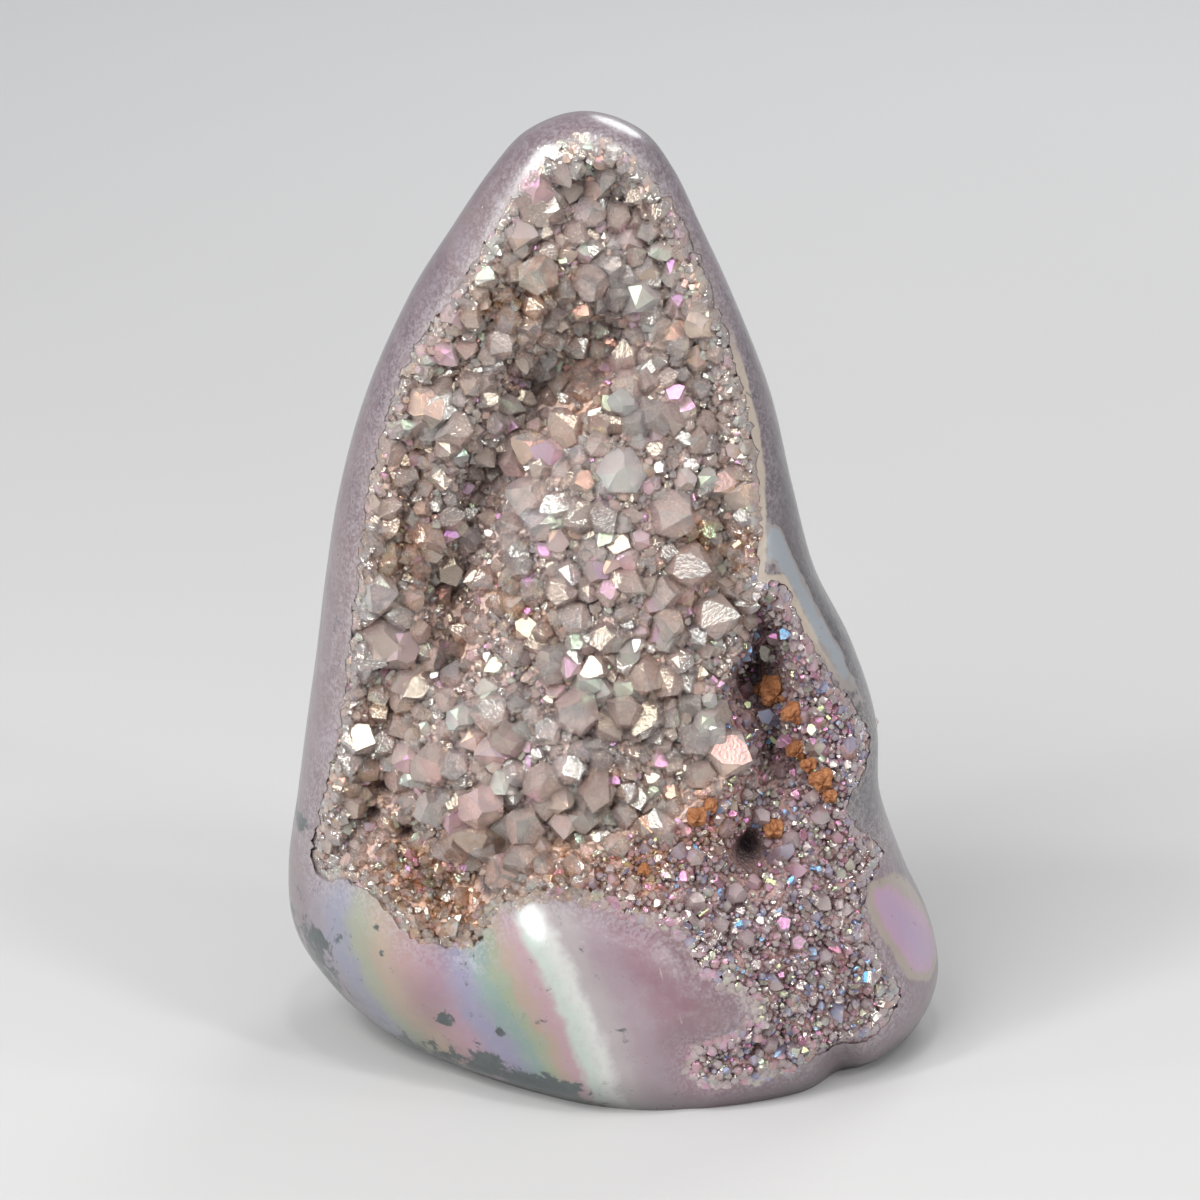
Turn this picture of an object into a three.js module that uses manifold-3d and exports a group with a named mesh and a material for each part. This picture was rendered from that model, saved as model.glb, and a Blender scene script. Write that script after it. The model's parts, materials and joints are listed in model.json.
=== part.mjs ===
// An aura amethyst cluster: a free-standing, hand-polished piece of geode, 149 mm tall.
// The stone stands on a sawn flat base and tapers to a rounded tip. Its front is opened into a
// shallow hollow lined with stubby quartz points, and the lower right flank into a second, rougher
// recess lined with fine, sparkling druse and a few crumbs of rust-brown iron oxide.
// Frame: millimetres, +Z up, X to the right and -Y to the front, origin at the middle of the base.
import * as THREE from "three";
import { mergeVertices } from "three/addons/utils/BufferGeometryUtils.js";
import Module from "manifold-3d";

// Sections of the polished stone from the sawn base up to the tip: height, then the left, right,
// front and back extents, then how full the left-front and right-front corners are (2 is an ellipse).
const STONE_SECTIONS = [
  [0, -34, 45.5, -34, 27, 1.55, 1.95],
  [3.5, -41, 49.8, -36.4, 31.5, 1.6, 1.95],
  [10, -47, 51.9, -37.1, 34.5, 1.68, 2],
  [18, -51.2, 50.4, -36.9, 36.5, 1.8, 2.05],
  [28, -51.8, 46, -35.3, 37.6, 1.95, 2.1],
  [40, -50.1, 42, -32, 37.7, 2.1, 2.15],
  [52, -48.4, 41.2, -29.5, 36.5, 2.2, 2.2],
  [64, -46.6, 37.3, -27, 35, 2.2, 2.2],
  [76, -45, 31.4, -25, 33, 2.2, 2.2],
  [90, -42.6, 27.6, -22.5, 31, 2.2, 2.2],
  [105, -38.3, 24, -20, 28, 2.2, 2.2],
  [120, -31.6, 18.2, -17, 24, 2.2, 2.2],
  [131, -24.8, 13.2, -13.5, 19, 2.1, 2.1],
  [140, -18.8, 8.9, -10, 13.5, 2, 2],
  [146, -13.2, 4, -6.8, 8.5, 2, 2],
  [149, -4.6, -4.6, 0, 0, 2, 2],
];
const BACK_FULLNESS = 2.2;

// The opened front, as X and Z points seen from the front: the main hollow and the side recess
// share the ledge where the thick crust of large points breaks off over the recess.
const LEDGE = [[22, 80], [21.5, 72], [18.5, 66], [15, 62.5], [16, 58], [20, 53], [18.5, 50], [15, 48],
  [10.5, 44], [4, 41], [-2, 39.5], [-4, 34]];
const HOLLOW_EDGE = [[-8, 35], [-13, 34.5], [-17, 32.5], [-19, 29.5], [-22, 25], [-27, 24.5], [-32, 26],
  [-35, 29], [-38, 31.5], [-42, 32], [-46, 31], [-47.4, 34.5], [-46, 40], [-44, 49], [-42.2, 57],
  [-41, 67], [-39.8, 76], [-38.8, 85], [-37, 95], [-35, 103], [-32.6, 110.5], [-29, 117], [-25, 122.5],
  [-21, 128.5], [-17.5, 134], [-14.5, 139], [-11, 143], [-7.5, 145.2], [-3, 145.6], [1, 144.5], [5, 141],
  [9, 135.5], [12, 129.5], [14.8, 123], [17, 116.5], [19.2, 109.5], [21, 102], [22, 95], [22.2, 87]];
const RECESS_EDGE = [[9, 28.5], [13, 23.5], [20, 18.5], [21.5, 15], [18, 12.5], [12, 10.5], [11.5, 7],
  [14, 5], [21, 5], [29, 6], [34, 7.5], [39, 7], [43, 10], [44.5, 14], [41.5, 19], [39, 26], [39.5, 30],
  [42, 33.5], [38, 39], [36.2, 43.5], [38.5, 47], [39.6, 51], [38.5, 55.5], [35, 61], [31, 67.5],
  [28, 73.5], [25.5, 79]];

// How deep the crystal bed lies behind the polished face, and how thick it is.
const HOLLOW_DEPTH = 7.5;
const RECESS_DEPTH = 4;
const SHALLOWEST_BED = 0.4;
const BED_THICKNESS = 4.2;
const BED_ROOT = 2;
const EDGE_RAMP = 7;
const GAP = 0.3;
const PROUD = 0.6;

// Furrows (deeper, +) and swells (shallower, -) of the bed and of the polished lip below it: a line
// from one X, Z point to the next, its half-width and its depth.
const BED_RELIEF = [
  { line: [[-2, 115], [-12, 106]], width: 6, depth: 7 },
  { line: [[-12, 106], [-19, 93]], width: 6, depth: 4 },
  { line: [[-19, 93], [-25, 76]], width: 5, depth: 6 },
  { line: [[-25, 76], [-25.5, 66]], width: 4, depth: 6 },
  { line: [[4, 92], [4, 72]], width: 12, depth: -2.5 },
  { line: [[-30, 118], [-14, 127]], width: 6, depth: -2.5 },
  { line: [[-24, 50], [-8, 53]], width: 6, depth: -2.5 },
  { line: [[-30, 30], [-24, 29]], width: 5, depth: 2.5 },
  { line: [[24.5, 70], [21.5, 61]], width: 4.5, depth: 9 },
  { line: [[21.5, 61], [25, 50]], width: 5, depth: 8 },
  { line: [[25, 50], [21, 37.5]], width: 4.5, depth: 5 },
  { line: [[20.5, 37.5], [20.6, 37]], width: 2.6, depth: 5 },
  { line: [[26, 27], [30, 18]], width: 8, depth: -2.5 },
];
const LIP_RELIEF = [
  { line: [[-23, 27], [-27, 8]], width: 4.5, depth: 2.4 },
  { line: [[-13, 34], [-5, 6]], width: 5.5, depth: -1.4 },
  { line: [[35.5, 0], [35, 4]], width: 3.4, depth: 5 },
];

// The quartz points of the main crust that catch the eye: X, Z, radius, lean to the right and lean
// upwards in degrees.
const LARGE_POINTS = [
  [-6, 60.5, 4.3, 8, 20], [-11.5, 126, 3.9, -6, 10], [-4, 124.5, 3.5, 5, 8], [-34.5, 99, 4, 20, 18],
  [-28, 51.5, 4.1, -5, 30], [-20.5, 46.5, 4.2, 12, 15], [-33.5, 68, 4.4, 14, -8], [-36, 77, 4, 16, 10],
  [1, 97, 4.3, 4, 12], [8, 90, 4.4, 10, 6], [-7.5, 102, 4, -10, 18], [16.8, 53, 4.4, 30, -5],
  [15.5, 74, 4.4, 20, 4], [-11, 50.5, 4, 10, 26], [-40, 54, 3.6, 18, 12], [-13.5, 42.5, 3.9, -8, 20],
  [-12.5, 92, 3.8, -16, 12], [11, 82.5, 4, 14, -6], [-19, 60, 4, -12, 14], [4.5, 66, 4.1, 6, -12],
];
const TIP_HEIGHT = 1.1;
const SHAFT_HEIGHT = 0.35;
const SUNK = 0.2;
const SPREAD_LEAN = 24;
// The smaller points between them, and the points of the side recess: how far apart they stand, the
// range of their radii, how far they keep from the rim, and the number that starts their scatter.
const MAIN_POINTS = { spacing: 7.2, radii: [3.4, 4.7], margin: 1.2, salt: 1 };
const FINE_POINTS = { spacing: 5.6, radii: [2.2, 3.3], margin: 1, salt: 20 };
// Lumps of iron oxide in the recess: X, Z and radius, and the share of the radius that stands proud.
const OXIDE_CRUMBS = [[25, 59.5, 2.7], [28.5, 51, 2], [32, 47.5, 2.1], [24.5, 40.5, 1.9]];
const CRUMB_RISE = 0.3;

// The mesh of the stone, the grid of the bed and the scatter of the points.
const COLUMNS_FRONT = 24;
const COLUMNS_BACK = 14;
const RINGS = 24;
const FIELD_STEP = 7;
const SLOPE_REACH = 2;
const ROW_PITCH = Math.sqrt(0.75);
const JITTER = 0.55;
const CLEARANCE = 0.66;
const FIELD = { left: -56, right: 56, low: -4, high: 154, front: -70, back: 70 };

const wasm = await Module();
wasm.setup();

// A closed geometry as a solid that can be joined and cut.
function solidOf(geometry) {
  const bare = new THREE.BufferGeometry();
  const loose = geometry.index ? geometry.toNonIndexed() : geometry;
  bare.setAttribute("position", loose.getAttribute("position"));
  const merged = mergeVertices(bare, 1e-4);
  const vertProperties = merged.attributes.position.array;
  const triVerts = new Uint32Array(merged.index.array);
  return new wasm.Manifold(new wasm.Mesh({ numProp: 3, vertProperties, triVerts }));
}

// The largest body of a solid, as a named mesh.
function meshOf(solid, name, material) {
  const body = solid.decompose().reduce((a, b) => (b.volume() > a.volume() ? b : a));
  const made = body.getMesh();
  const geometry = new THREE.BufferGeometry();
  geometry.setAttribute("position", new THREE.BufferAttribute(made.vertProperties, 3));
  geometry.setIndex(new THREE.BufferAttribute(made.triVerts, 1));
  const mesh = new THREE.Mesh(geometry, material);
  mesh.name = name;
  return mesh;
}

const clamp = THREE.MathUtils.clamp;
const radians = THREE.MathUtils.degToRad;
const smooth = (share) => THREE.MathUtils.smoothstep(share, 0, 1);

// A number from 0 to 1 that looks random but is the same on every run.
function chance(index, salt) {
  const wave = Math.sin(index * 12.9898 + salt * 78.233) * 43758.5453;
  return wave - Math.floor(wave);
}

// The section at a place along the list, by a Catmull-Rom curve that closes smoothly over the tip.
function sectionAlong(place) {
  const last = STONE_SECTIONS.length - 1;
  const index = Math.min(Math.floor(place), last - 1);
  const share = place - index;
  const from = STONE_SECTIONS[index];
  const to = STONE_SECTIONS[index + 1];
  const before = STONE_SECTIONS[index - 1] ?? from.map((value, k) => 2 * value - to[k]);
  const after =
    STONE_SECTIONS[index + 2] ?? to.map((value, k) => (k === 0 ? from[0] : 2 * value - from[k]));
  return from.map((value, k) => {
    const slope = (to[k] - before[k]) / 2;
    const nextSlope = (after[k] - value) / 2;
    const rise = to[k] - value;
    return (
      value + slope * share + (3 * rise - 2 * slope - nextSlope) * share ** 2 +
      (slope + nextSlope - 2 * rise) * share ** 3
    );
  });
}

// The section at a height, found by halving, because height only rises along the list.
function sectionAt(height) {
  let low = 0;
  let high = STONE_SECTIONS.length - 1;
  for (let step = 0; step < 30; step += 1) {
    const middle = (low + high) / 2;
    if (sectionAlong(middle)[0] < height) low = middle;
    else high = middle;
  }
  return sectionAlong(low);
}

function distanceToSegment(x, z, [ax, az], [bx, bz]) {
  const length = (bx - ax) ** 2 + (bz - az) ** 2;
  const share = clamp(((x - ax) * (bx - ax) + (z - az) * (bz - az)) / length, 0, 1);
  return Math.hypot(x - ax - share * (bx - ax), z - az - share * (bz - az));
}

function distanceToOutline(x, z, outline) {
  const following = (k) => outline[(k + 1) % outline.length];
  return Math.min(...outline.map((point, k) => distanceToSegment(x, z, point, following(k))));
}

// The sum of a list's furrows and swells, each a rounded bell across its line.
function relief(x, z, list) {
  const bell = ({ line, width, depth }) =>
    depth * Math.exp(-((distanceToSegment(x, z, ...line) / width) ** 2));
  return list.reduce((sum, swell) => sum + bell(swell), 0);
}

// Y of the polished front face before it was opened.
function polishedFront(x, z) {
  const [, left, right, front, , leftFullness, rightFullness] = sectionAt(z);
  const middle = (left + right) / 2;
  const fullness = x < middle ? leftFullness : rightFullness;
  const reach = clamp(Math.abs(x - middle) / ((right - left) / 2), 0, 1);
  return front * (1 - reach ** fullness) ** (1 / fullness) + relief(x, z, LIP_RELIEF);
}

const OPENING = [...HOLLOW_EDGE, ...LEDGE.slice(0, 1), ...[...RECESS_EDGE].reverse(), ...LEDGE.slice(-1)];
const HOLLOW = [...HOLLOW_EDGE, ...LEDGE];
const RECESS = [...RECESS_EDGE, ...LEDGE];

// How far the crystal bed lies behind the polished front, sinking in from the opening's edge.
function bedDepth(x, z) {
  const inward = smooth(distanceToOutline(x, z, OPENING) / EDGE_RAMP);
  const main = smooth((distanceToOutline(x, z, RECESS) / EDGE_RAMP) * 2);
  const depth = RECESS_DEPTH + (HOLLOW_DEPTH - RECESS_DEPTH) * main;
  return Math.max(SHALLOWEST_BED, inward * (depth + relief(x, z, BED_RELIEF)));
}

const bedFront = (x, z) => polishedFront(x, z) + bedDepth(x, z);
const bedFloor = (x, z) => bedFront(x, z) + BED_THICKNESS;

// The polished stone, whole, as rings of points around the sections, closed by the base and the tip.
function stoneBody() {
  const angles = [];
  for (let k = 0; k < COLUMNS_FRONT; k += 1) angles.push(-Math.PI + (Math.PI * k) / COLUMNS_FRONT);
  for (let k = 0; k < COLUMNS_BACK; k += 1) angles.push((Math.PI * k) / COLUMNS_BACK);
  const points = [];
  for (let ring = 0; ring < RINGS; ring += 1) {
    const [height, left, right, front, back, leftFullness, rightFullness] = sectionAlong(
      ((STONE_SECTIONS.length - 1) * ring) / RINGS,
    );
    const middle = (left + right) / 2;
    for (const angle of angles) {
      const across = Math.cos(angle);
      const along = Math.sin(angle);
      const fullness = along > 0 ? BACK_FULLNESS : across < 0 ? leftFullness : rightFullness;
      const x = middle + ((Math.sign(across) * (right - left)) / 2) * Math.abs(across) ** (2 / fullness);
      const reach = Math.abs(along) ** (2 / fullness);
      const y = along > 0 ? back * reach : front * reach + relief(x, height, LIP_RELIEF) * reach;
      points.push(x, y, height);
    }
  }
  const baseMiddle = points.length / 3;
  points.push(0, 0, 0);
  const [tipHeight, tipX] = STONE_SECTIONS.at(-1);
  points.push(tipX, 0, tipHeight);
  const columns = angles.length;
  const faces = [];
  for (let k = 0; k < columns; k += 1) {
    const next = (k + 1) % columns;
    faces.push(baseMiddle, next, k);
    const top = (RINGS - 1) * columns;
    faces.push(top + k, top + next, baseMiddle + 1);
    for (let ring = 0; ring < RINGS - 1; ring += 1) {
      const low = ring * columns;
      const high = low + columns;
      faces.push(low + k, low + next, high + next, low + k, high + next, high + k);
    }
  }
  const geometry = new THREE.BufferGeometry();
  geometry.setAttribute("position", new THREE.Float32BufferAttribute(points, 3));
  geometry.setIndex(faces);
  return solidOf(geometry);
}

// A block from the surface frontAt back to the surface backAt, over the field of X and Z.
function fieldBlock(frontAt, backAt) {
  const columns = Math.round((FIELD.right - FIELD.left) / FIELD_STEP) + 1;
  const rows = Math.round((FIELD.high - FIELD.low) / FIELD_STEP) + 1;
  const points = [];
  for (const surface of [frontAt, backAt])
    for (let row = 0; row < rows; row += 1)
      for (let column = 0; column < columns; column += 1) {
        const x = FIELD.left + column * FIELD_STEP;
        const z = FIELD.low + row * FIELD_STEP;
        points.push(x, surface(x, z), z);
      }
  const far = rows * columns;
  const faces = [];
  const quad = (a, b, c, d) => faces.push(a, b, c, a, c, d);
  for (let row = 0; row < rows - 1; row += 1)
    for (let column = 0; column < columns - 1; column += 1) {
      const a = row * columns + column;
      quad(a, a + 1, a + columns + 1, a + columns);
      quad(far + a, far + a + columns, far + a + columns + 1, far + a + 1);
    }
  for (let row = 0; row < rows - 1; row += 1) {
    const a = row * columns;
    const b = a + columns - 1;
    quad(a, a + columns, far + a + columns, far + a);
    quad(b, far + b, far + b + columns, b + columns);
  }
  for (let column = 0; column < columns - 1; column += 1) {
    const b = (rows - 1) * columns + column;
    quad(column, far + column, far + column + 1, column + 1);
    quad(b, b + 1, far + b + 1, far + b);
  }
  const geometry = new THREE.BufferGeometry();
  geometry.setAttribute("position", new THREE.Float32BufferAttribute(points, 3));
  geometry.setIndex(faces);
  return solidOf(geometry);
}

// An outline in X and Z moved inwards by a distance, for pieces that keep a gap to each other.
function inset(outline, distance) {
  const turn = THREE.ShapeUtils.area(outline.map(([x, z]) => new THREE.Vector2(x, z))) > 0 ? 1 : -1;
  return outline.map(([x, z], k) => {
    const [px, pz] = outline.at(k - 1);
    const [nx, nz] = outline[(k + 1) % outline.length];
    const length = Math.hypot(nx - px, nz - pz);
    return [x - (turn * distance * (nz - pz)) / length, z + (turn * distance * (nx - px)) / length];
  });
}

// An outline in X and Z run from front to back through the whole stone.
function column(outline) {
  const shape = new THREE.Shape(outline.map(([x, z]) => new THREE.Vector2(x, z)));
  const geometry = new THREE.ExtrudeGeometry(shape, { depth: FIELD.back - FIELD.front, bevelEnabled: false });
  geometry.rotateX(Math.PI / 2);
  geometry.translate(0, FIELD.back, 0);
  return solidOf(geometry);
}

// Straight out of the crystal bed at X and Z, from the slope of the bed around it.
function outward(x, z) {
  const slopeX = (bedFront(x + SLOPE_REACH, z) - bedFront(x - SLOPE_REACH, z)) / (2 * SLOPE_REACH);
  const slopeZ = (bedFront(x, z + SLOPE_REACH) - bedFront(x, z - SLOPE_REACH)) / (2 * SLOPE_REACH);
  return new THREE.Vector3(slopeX, -1, slopeZ).normalize();
}

// A six-sided quartz point: six tip faces, on a short prism where it has a shaft, rooted in the bed.
// Near the rim it sits deeper, so that its tip is ground off nearly flush with the polished face.
function quartzPoint({ x, z, radius, right, up, turn, shaft }) {
  const reach = radius * (shaft + TIP_HEIGHT);
  const foot = Math.max(bedFront(x, z) + radius * SUNK, polishedFront(x, z) + reach - PROUD);
  const profile = [new THREE.Vector2(0, -radius), new THREE.Vector2(radius, 0)];
  if (shaft > 0) profile.push(new THREE.Vector2(radius, radius * shaft));
  profile.push(new THREE.Vector2(0, reach));
  const geometry = new THREE.LatheGeometry(profile, 6);
  geometry.rotateY(turn);
  const lean = new THREE.Vector3(Math.tan(radians(right)), 0, Math.tan(radians(up)));
  const aim = outward(x, z).add(lean).normalize();
  geometry.applyQuaternion(new THREE.Quaternion().setFromUnitVectors(new THREE.Vector3(0, 1, 0), aim));
  geometry.translate(x, foot, z);
  return solidOf(geometry);
}

function inside(x, z, outline, margin) {
  let within = false;
  outline.forEach(([ax, az], k) => {
    const [bx, bz] = outline[(k + 1) % outline.length];
    if (az > z !== bz > z && x < ax + ((z - az) / (bz - az)) * (bx - ax)) within = !within;
  });
  return within && distanceToOutline(x, z, outline) > margin;
}

// Places inside an outline on a grid of triangles, each moved a little, away from the places taken.
function spread(outline, { spacing, margin, salt }, taken) {
  const places = [];
  const rows = Math.ceil((FIELD.high - FIELD.low) / (spacing * ROW_PITCH));
  const columns = Math.ceil((FIELD.right - FIELD.left) / spacing);
  for (let k = 0; k < rows * columns; k += 1) {
    const row = Math.floor(k / columns);
    const x = FIELD.left + spacing * ((k % columns) + (row % 2) / 2 + JITTER * (chance(k, salt) - 0.5));
    const z = FIELD.low + spacing * (row * ROW_PITCH + JITTER * (chance(k, salt + 1) - 0.5));
    const free = taken.every(([tx, tz]) => Math.hypot(x - tx, z - tz) > spacing * CLEARANCE);
    if (free && inside(x, z, outline, margin)) places.push([x, z]);
  }
  return places;
}

// Quartz points spread over an outline, of a range of radii, leaning a little every way.
function spreadPoints(outline, kind, taken) {
  const { radii, salt } = kind;
  const lean = (k, offset) => SPREAD_LEAN * (2 * chance(k, salt + offset) - 1);
  return spread(outline, kind, taken).map(([x, z], k) => {
    const radius = THREE.MathUtils.lerp(...radii, chance(k, salt + 2));
    const turn = chance(k, salt + 3) * Math.PI;
    return quartzPoint({ x, z, radius, right: lean(k, 4), up: lean(k, 5), turn, shaft: 0 });
  });
}

// A lump of iron oxide sitting in the recess.
function oxideCrumb(x, z, radius) {
  const geometry = new THREE.DodecahedronGeometry(radius, 0);
  geometry.translate(x, bedFront(x, z) - radius * CRUMB_RISE, z);
  return solidOf(geometry);
}

const wholeStone = stoneBody();
const infront = fieldBlock(() => FIELD.front, bedFloor);
const bed = fieldBlock(bedFront, (x, z) => bedFloor(x, z) + BED_ROOT);
const clearOfStone = infront.translate(0, -GAP, 0);

// The crystals and their bed within an outline, clear of the stone.
function crust(outline, crystals) {
  const grown = crystals.reduce((sum, crystal) => sum.add(crystal), bed);
  return grown.intersect(column(inset(outline, GAP))).intersect(clearOfStone);
}

const polishedStone = wholeStone.subtract(infront.intersect(column(OPENING)));
const mainCrust = crust(HOLLOW, [
  ...LARGE_POINTS.map(([x, z, radius, right, up], k) =>
    quartzPoint({ x, z, radius, right, up, turn: chance(k, 9) * Math.PI, shaft: SHAFT_HEIGHT }),
  ),
  ...spreadPoints(HOLLOW, MAIN_POINTS, LARGE_POINTS),
]);
const fineCrust = crust(RECESS, [
  ...spreadPoints(RECESS, FINE_POINTS, OXIDE_CRUMBS),
  ...OXIDE_CRUMBS.map((crumb) => oxideCrumb(...crumb)),
]);

const stoneFinish = new THREE.MeshStandardMaterial({ color: 0xb79aa0, roughness: 0.18, metalness: 0 });
const quartzFinish = new THREE.MeshStandardMaterial({ color: 0xd8c3bd, roughness: 0.08, metalness: 0 });
const druseFinish = new THREE.MeshStandardMaterial({ color: 0xb58f8c, roughness: 0.12, metalness: 0 });

const cluster = new THREE.Group();
cluster.add(meshOf(polishedStone, "polished_stone", stoneFinish));
cluster.add(meshOf(mainCrust, "crystal_crust", quartzFinish));
cluster.add(meshOf(fineCrust, "fine_druse", druseFinish));
export default cluster;
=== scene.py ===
# %% [markdown]
# An aura amethyst cluster, made from scratch.
# The real object is one piece of geode. Its foot is sawn flat, its outside is ground and polished by
# hand, and its front is left open so that the crust of quartz points inside can be seen. A film of
# metal only some hundred nanometres thick was laid over all of it, and gives it its rainbow colours.
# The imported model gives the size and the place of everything. This lesson dresses it: the polished
# stone with its colours, the crust of crystals, the fine druse in the side recess, and the light.

# %% Load the frame
import json
import math
import bmesh
import bpy
import numpy as np
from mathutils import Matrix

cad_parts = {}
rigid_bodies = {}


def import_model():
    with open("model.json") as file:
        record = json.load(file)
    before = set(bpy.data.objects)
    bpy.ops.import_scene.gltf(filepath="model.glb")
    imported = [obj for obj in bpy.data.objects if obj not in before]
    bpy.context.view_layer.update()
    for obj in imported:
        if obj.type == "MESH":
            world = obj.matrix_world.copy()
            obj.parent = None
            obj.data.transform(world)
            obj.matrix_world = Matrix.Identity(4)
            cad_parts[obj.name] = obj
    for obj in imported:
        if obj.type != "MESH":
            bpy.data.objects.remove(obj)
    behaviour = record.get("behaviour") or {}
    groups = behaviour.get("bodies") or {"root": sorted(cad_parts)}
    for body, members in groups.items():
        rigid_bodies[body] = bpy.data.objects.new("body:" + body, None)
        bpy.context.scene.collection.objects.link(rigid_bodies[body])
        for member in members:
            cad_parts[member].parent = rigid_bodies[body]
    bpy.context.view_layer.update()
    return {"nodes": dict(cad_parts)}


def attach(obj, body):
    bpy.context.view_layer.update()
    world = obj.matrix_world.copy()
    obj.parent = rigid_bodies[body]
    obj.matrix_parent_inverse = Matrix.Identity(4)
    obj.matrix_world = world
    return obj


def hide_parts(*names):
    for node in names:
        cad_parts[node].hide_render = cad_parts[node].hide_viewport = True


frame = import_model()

print("nodes:", sorted(frame["nodes"]))

# %% [markdown]
# The camera and the floor come first, because every later choice is judged through them.
# The photograph looks at the stone from a little above, 18 degrees, with a long lens, so that
# upright lines stay nearly parallel. A long lens far away gives that, not a wide one close by.

# %% Camera and floor
MM = 0.001
CAMERA_TARGET = np.array([-2.27, 0.0, 71.6]) * MM
CAMERA_ELEVATION = math.radians(18)
CAMERA_DISTANCE = 700 * MM
LENS = 134.4
FLOOR_SIZE = 6.0
FLOOR_FRONT = -3.0
FLOOR_BEND = 1.5
BEND_RADIUS = 1.2
FLOOR_ROWS = 40


def add_camera():
    """A camera on a circle round the target: back by the distance, up by its angle above the level."""
    camera = bpy.data.objects.new("camera", bpy.data.cameras.new("camera"))
    back = np.array([0.0, -math.cos(CAMERA_ELEVATION), math.sin(CAMERA_ELEVATION)])
    camera.location = CAMERA_TARGET + CAMERA_DISTANCE * back
    camera.rotation_euler = (math.pi / 2 - CAMERA_ELEVATION, 0, 0)
    camera.data.lens = LENS
    camera.data.sensor_width = 36
    camera.data.clip_start = 0.01
    bpy.context.collection.objects.link(camera)
    bpy.context.scene.camera = camera
    return camera


def add_floor():
    """A plane under the stone, bent up behind it in a quarter circle so that no horizon shows: the
    first half of the rows runs back flat, the second goes round the circle, depth radius * sin a
    and height radius * (1 - cos a)."""
    along = np.linspace(0, 1, FLOOR_ROWS)
    flat = FLOOR_FRONT + (FLOOR_BEND - FLOOR_FRONT) * 2 * along
    turn = (along - 0.5) * math.pi
    depth = np.where(along < 0.5, flat, FLOOR_BEND + BEND_RADIUS * np.sin(turn))
    height = np.where(along < 0.5, 0.0, BEND_RADIUS * (1 - np.cos(turn)))
    across = np.array([-FLOOR_SIZE / 2, FLOOR_SIZE / 2])
    points = [(x, y, z) for y, z in zip(depth, height) for x in across]
    faces = [(2 * k, 2 * k + 1, 2 * k + 3, 2 * k + 2) for k in range(len(along) - 1)]
    mesh = bpy.data.meshes.new("floor")
    mesh.from_pydata(points, [], faces)
    mesh.polygons.foreach_set("use_smooth", [True] * len(faces))
    floor = bpy.data.objects.new("floor", mesh)
    bpy.context.collection.objects.link(floor)
    return floor


camera = add_camera()
floor = add_floor()
print("camera at", [round(c, 3) for c in camera.location])

# %% [markdown]
# The outside of the stone is a stack of horizontal sections from the sawn foot to the tip. Each one
# is a superellipse: an ellipse whose corners can be made fuller or leaner. A smooth curve through
# the listed sections gives all those between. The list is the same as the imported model's, in
# millimetres, so the fine surface made here lies on the plain one.

# %% Sections of the stone
STONE_SECTIONS = np.array([
    [0, -34, 45.5, -34, 27, 1.55, 1.95],
    [3.5, -41, 49.8, -36.4, 31.5, 1.6, 1.95],
    [10, -47, 51.9, -37.1, 34.5, 1.68, 2],
    [18, -51.2, 50.4, -36.9, 36.5, 1.8, 2.05],
    [28, -51.8, 46, -35.3, 37.6, 1.95, 2.1],
    [40, -50.1, 42, -32, 37.7, 2.1, 2.15],
    [52, -48.4, 41.2, -29.5, 36.5, 2.2, 2.2],
    [64, -46.6, 37.3, -27, 35, 2.2, 2.2],
    [76, -45, 31.4, -25, 33, 2.2, 2.2],
    [90, -42.6, 27.6, -22.5, 31, 2.2, 2.2],
    [105, -38.3, 24, -20, 28, 2.2, 2.2],
    [120, -31.6, 18.2, -17, 24, 2.2, 2.2],
    [131, -24.8, 13.2, -13.5, 19, 2.1, 2.1],
    [140, -18.8, 8.9, -10, 13.5, 2, 2],
    [146, -13.2, 4, -6.8, 8.5, 2, 2],
    [149, -4.6, -4.6, 0, 0, 2, 2],
])
BACK_FULLNESS = 2.2
LAST = len(STONE_SECTIONS) - 1
STONE_HEIGHT = STONE_SECTIONS[-1, 0]
LOOKUP_STEPS = 4000


def section_along(place):
    """Catmull-Rom through the rows: from row k to k + 1 a cubic whose end slopes are half the step
    between each end's neighbours. Past the tip the widths mirror, which rounds it off."""
    mirrored = 2 * STONE_SECTIONS[-1] - STONE_SECTIONS[-2]
    mirrored[0] = STONE_SECTIONS[-2, 0]
    before_first = 2 * STONE_SECTIONS[0] - STONE_SECTIONS[1]
    rows = np.vstack([before_first, STONE_SECTIONS, mirrored])
    index = np.clip(np.floor(place).astype(int), 0, LAST - 1)
    share = (place - index)[..., None]
    before, start, end, after = (rows[index + k] for k in range(4))
    slope, next_slope, rise = (end - before) / 2, (after - start) / 2, end - start
    bend = 3 * rise - 2 * slope - next_slope
    return start + slope * share + bend * share**2 + (slope + next_slope - 2 * rise) * share**3


PLACES = np.linspace(0, LAST, LOOKUP_STEPS)
HEIGHTS = section_along(PLACES)[:, 0]


def section_at(z):
    """The section at a height, by looking the height up in the finely sampled list."""
    return section_along(np.interp(z, HEIGHTS, PLACES))


print("stone is", HEIGHTS[-1], "mm tall")

# %% [markdown]
# The front carries two openings that share a ledge, and a few furrows and swells. An opening is an
# outline of points seen from the front. A furrow is a rounded bell across a short line.

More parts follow.
